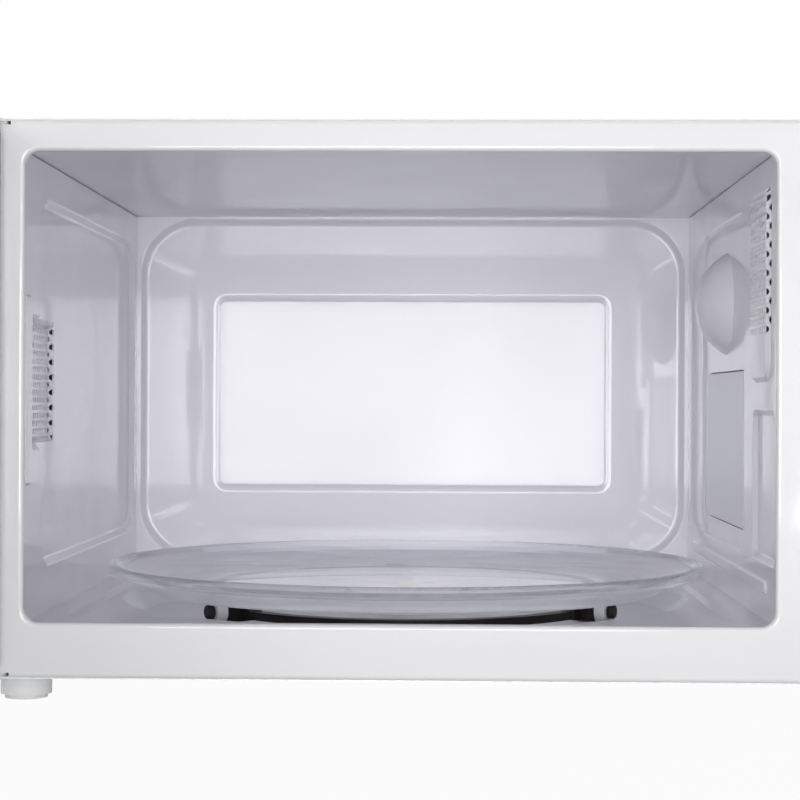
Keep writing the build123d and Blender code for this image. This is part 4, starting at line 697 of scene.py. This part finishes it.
def dial_marks(name, knob, sweep, count, radius, mark, growth=0.0):
    """Marks over a sweep in degrees. growth is the last one's extra width, as a share of the first's."""
    pattern = Pattern(name)
    marks = pattern.size("Marks", count, "NodeSocketInt")
    middle_radius = pattern.size("Radius", radius)
    step = pattern.size("Step", -math.radians(sweep) / (count - 1))
    swelling = pattern.size("Growth of each mark", growth / (count - 1))
    index = pattern.node("GeometryNodeInputIndex")
    up = pattern.node("ShaderNodeCombineXYZ", {}, {"Y": middle_radius})
    spot = pattern.node(
        "ShaderNodeVectorRotate", {"rotation_type": "Z_AXIS"}, {"Vector": up, "Angle": index * step}
    )
    points = pattern.node("GeometryNodePoints", {}, {"Count": marks, "Position": spot})
    width = index * swelling + 1
    wide = pattern.node("ShaderNodeCombineXYZ", {}, {"X": width, "Y": width, "Z": 1.0})
    turned = pattern.node("ShaderNodeCombineXYZ", {}, {"Z": index * step})
    one = pattern.node(*mark)
    copying = {"Points": points, "Instance": one, "Rotation": turned, "Scale": wide}
    copies = pattern.node("GeometryNodeInstanceOnPoints", {}, copying)
    centre = corners_of(knob)[2]
    to_panel = Matrix.Translation((centre.x, panel_front, centre.z)) @ to_front
    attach(pattern.make(copies, dial_ink, to_panel), "oven")


fine, long, small = line(0.0020, 0.00035), line(0.0028, 0.0007), dot(0.0004)
dial_marks("minute_marks", "timer_knob", timer_sweep, last_minute + 1, 0.0300, fine)
dial_marks("five_minute_marks", "timer_knob", timer_sweep, last_minute // 5 + 1, 0.0304, long)
dial_marks("power_marks", "power_knob", power_sweep, 17, 0.0304, small, growth=2.2)

# %% [markdown]
# ## Minutes on the timer dial
# The minutes stand beside the long marks as plain numbers. Each is a text object that is turned into a
# mesh and then moved to its place, so that its object stays at the origin.

# %% Minute numbers
number_height, number_radius = 0.0048, 0.0349
timer_centre = corners_of("timer_knob")[2]
for minute in range(0, last_minute + 1, 5):
    text = bpy.data.curves.new(f"minute_{minute}", "FONT")
    text.body, text.size, text.extrude = str(minute), number_height, print_height / 2
    text.align_x, text.align_y = "CENTER", "CENTER"
    carrier = bpy.data.objects.new(f"minute_{minute}_text", text)
    bpy.context.scene.collection.objects.link(carrier)
    graph = bpy.context.evaluated_depsgraph_get()
    number_mesh = bpy.data.meshes.new_from_object(carrier.evaluated_get(graph))
    bpy.data.objects.remove(carrier)
    angle = math.radians(timer_sweep * minute / last_minute)
    spot = timer_centre + Vector((math.sin(angle), 0, math.cos(angle))) * number_radius
    number_mesh.transform(Matrix.Translation((spot.x, panel_front, spot.z)) @ to_front)
    number_mesh.materials.clear()
    number_mesh.materials.append(dial_ink)
    number = bpy.data.objects.new(f"minute_{minute}", number_mesh)
    bpy.context.scene.collection.objects.link(number)
    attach(number, "oven")
print("minutes printed round", [round(v, 4) for v in timer_centre])

# %% [markdown]
# ## Pointers on the knobs
# Each knob has a dark line on its grip that points at the scale. It is a thin bar with round ends, printed
# on the grip's face, and it turns with the knob. Its outline is one small circle whose upper half is
# moved outwards, so a few lines of Python make it.

# %% Knob pointers
def pointer(name, knob, body):
    low, _, centre = corners_of(knob)
    half_width, inner_end, outer_end, corner_count = 0.0006, 0.0065, 0.0185, 24
    outline = []
    for corner in range(corner_count):
        angle = math.radians(360 / corner_count * corner)
        x, z = half_width * math.cos(angle), half_width * math.sin(angle)
        outline.append((centre.x + x, centre.z + (outer_end if z > 1e-9 else inner_end) + z))
    front, back = low.y - 0.00005, low.y + 0.00002
    points = [(x, y, z) for y in (front, back) for x, z in outline]
    pairs = [(n, (n + 1) % corner_count) for n in range(corner_count)]
    sides = [(n, n + corner_count, after + corner_count, after) for n, after in pairs]
    front_face = tuple(range(corner_count))
    back_face = tuple(range(2 * corner_count - 1, corner_count - 1, -1))
    mesh = bpy.data.meshes.new(name)
    mesh.from_pydata(points, [], [front_face, back_face] + sides)
    mesh.validate()
    mesh.materials.append(dial_ink)
    bar = bpy.data.objects.new(name, mesh)
    bpy.context.scene.collection.objects.link(bar)
    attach(bar, body)


pointer("timer_pointer", "timer_knob", "timer_dial")
pointer("power_pointer", "power_knob", "power_dial")
print("pointers printed")
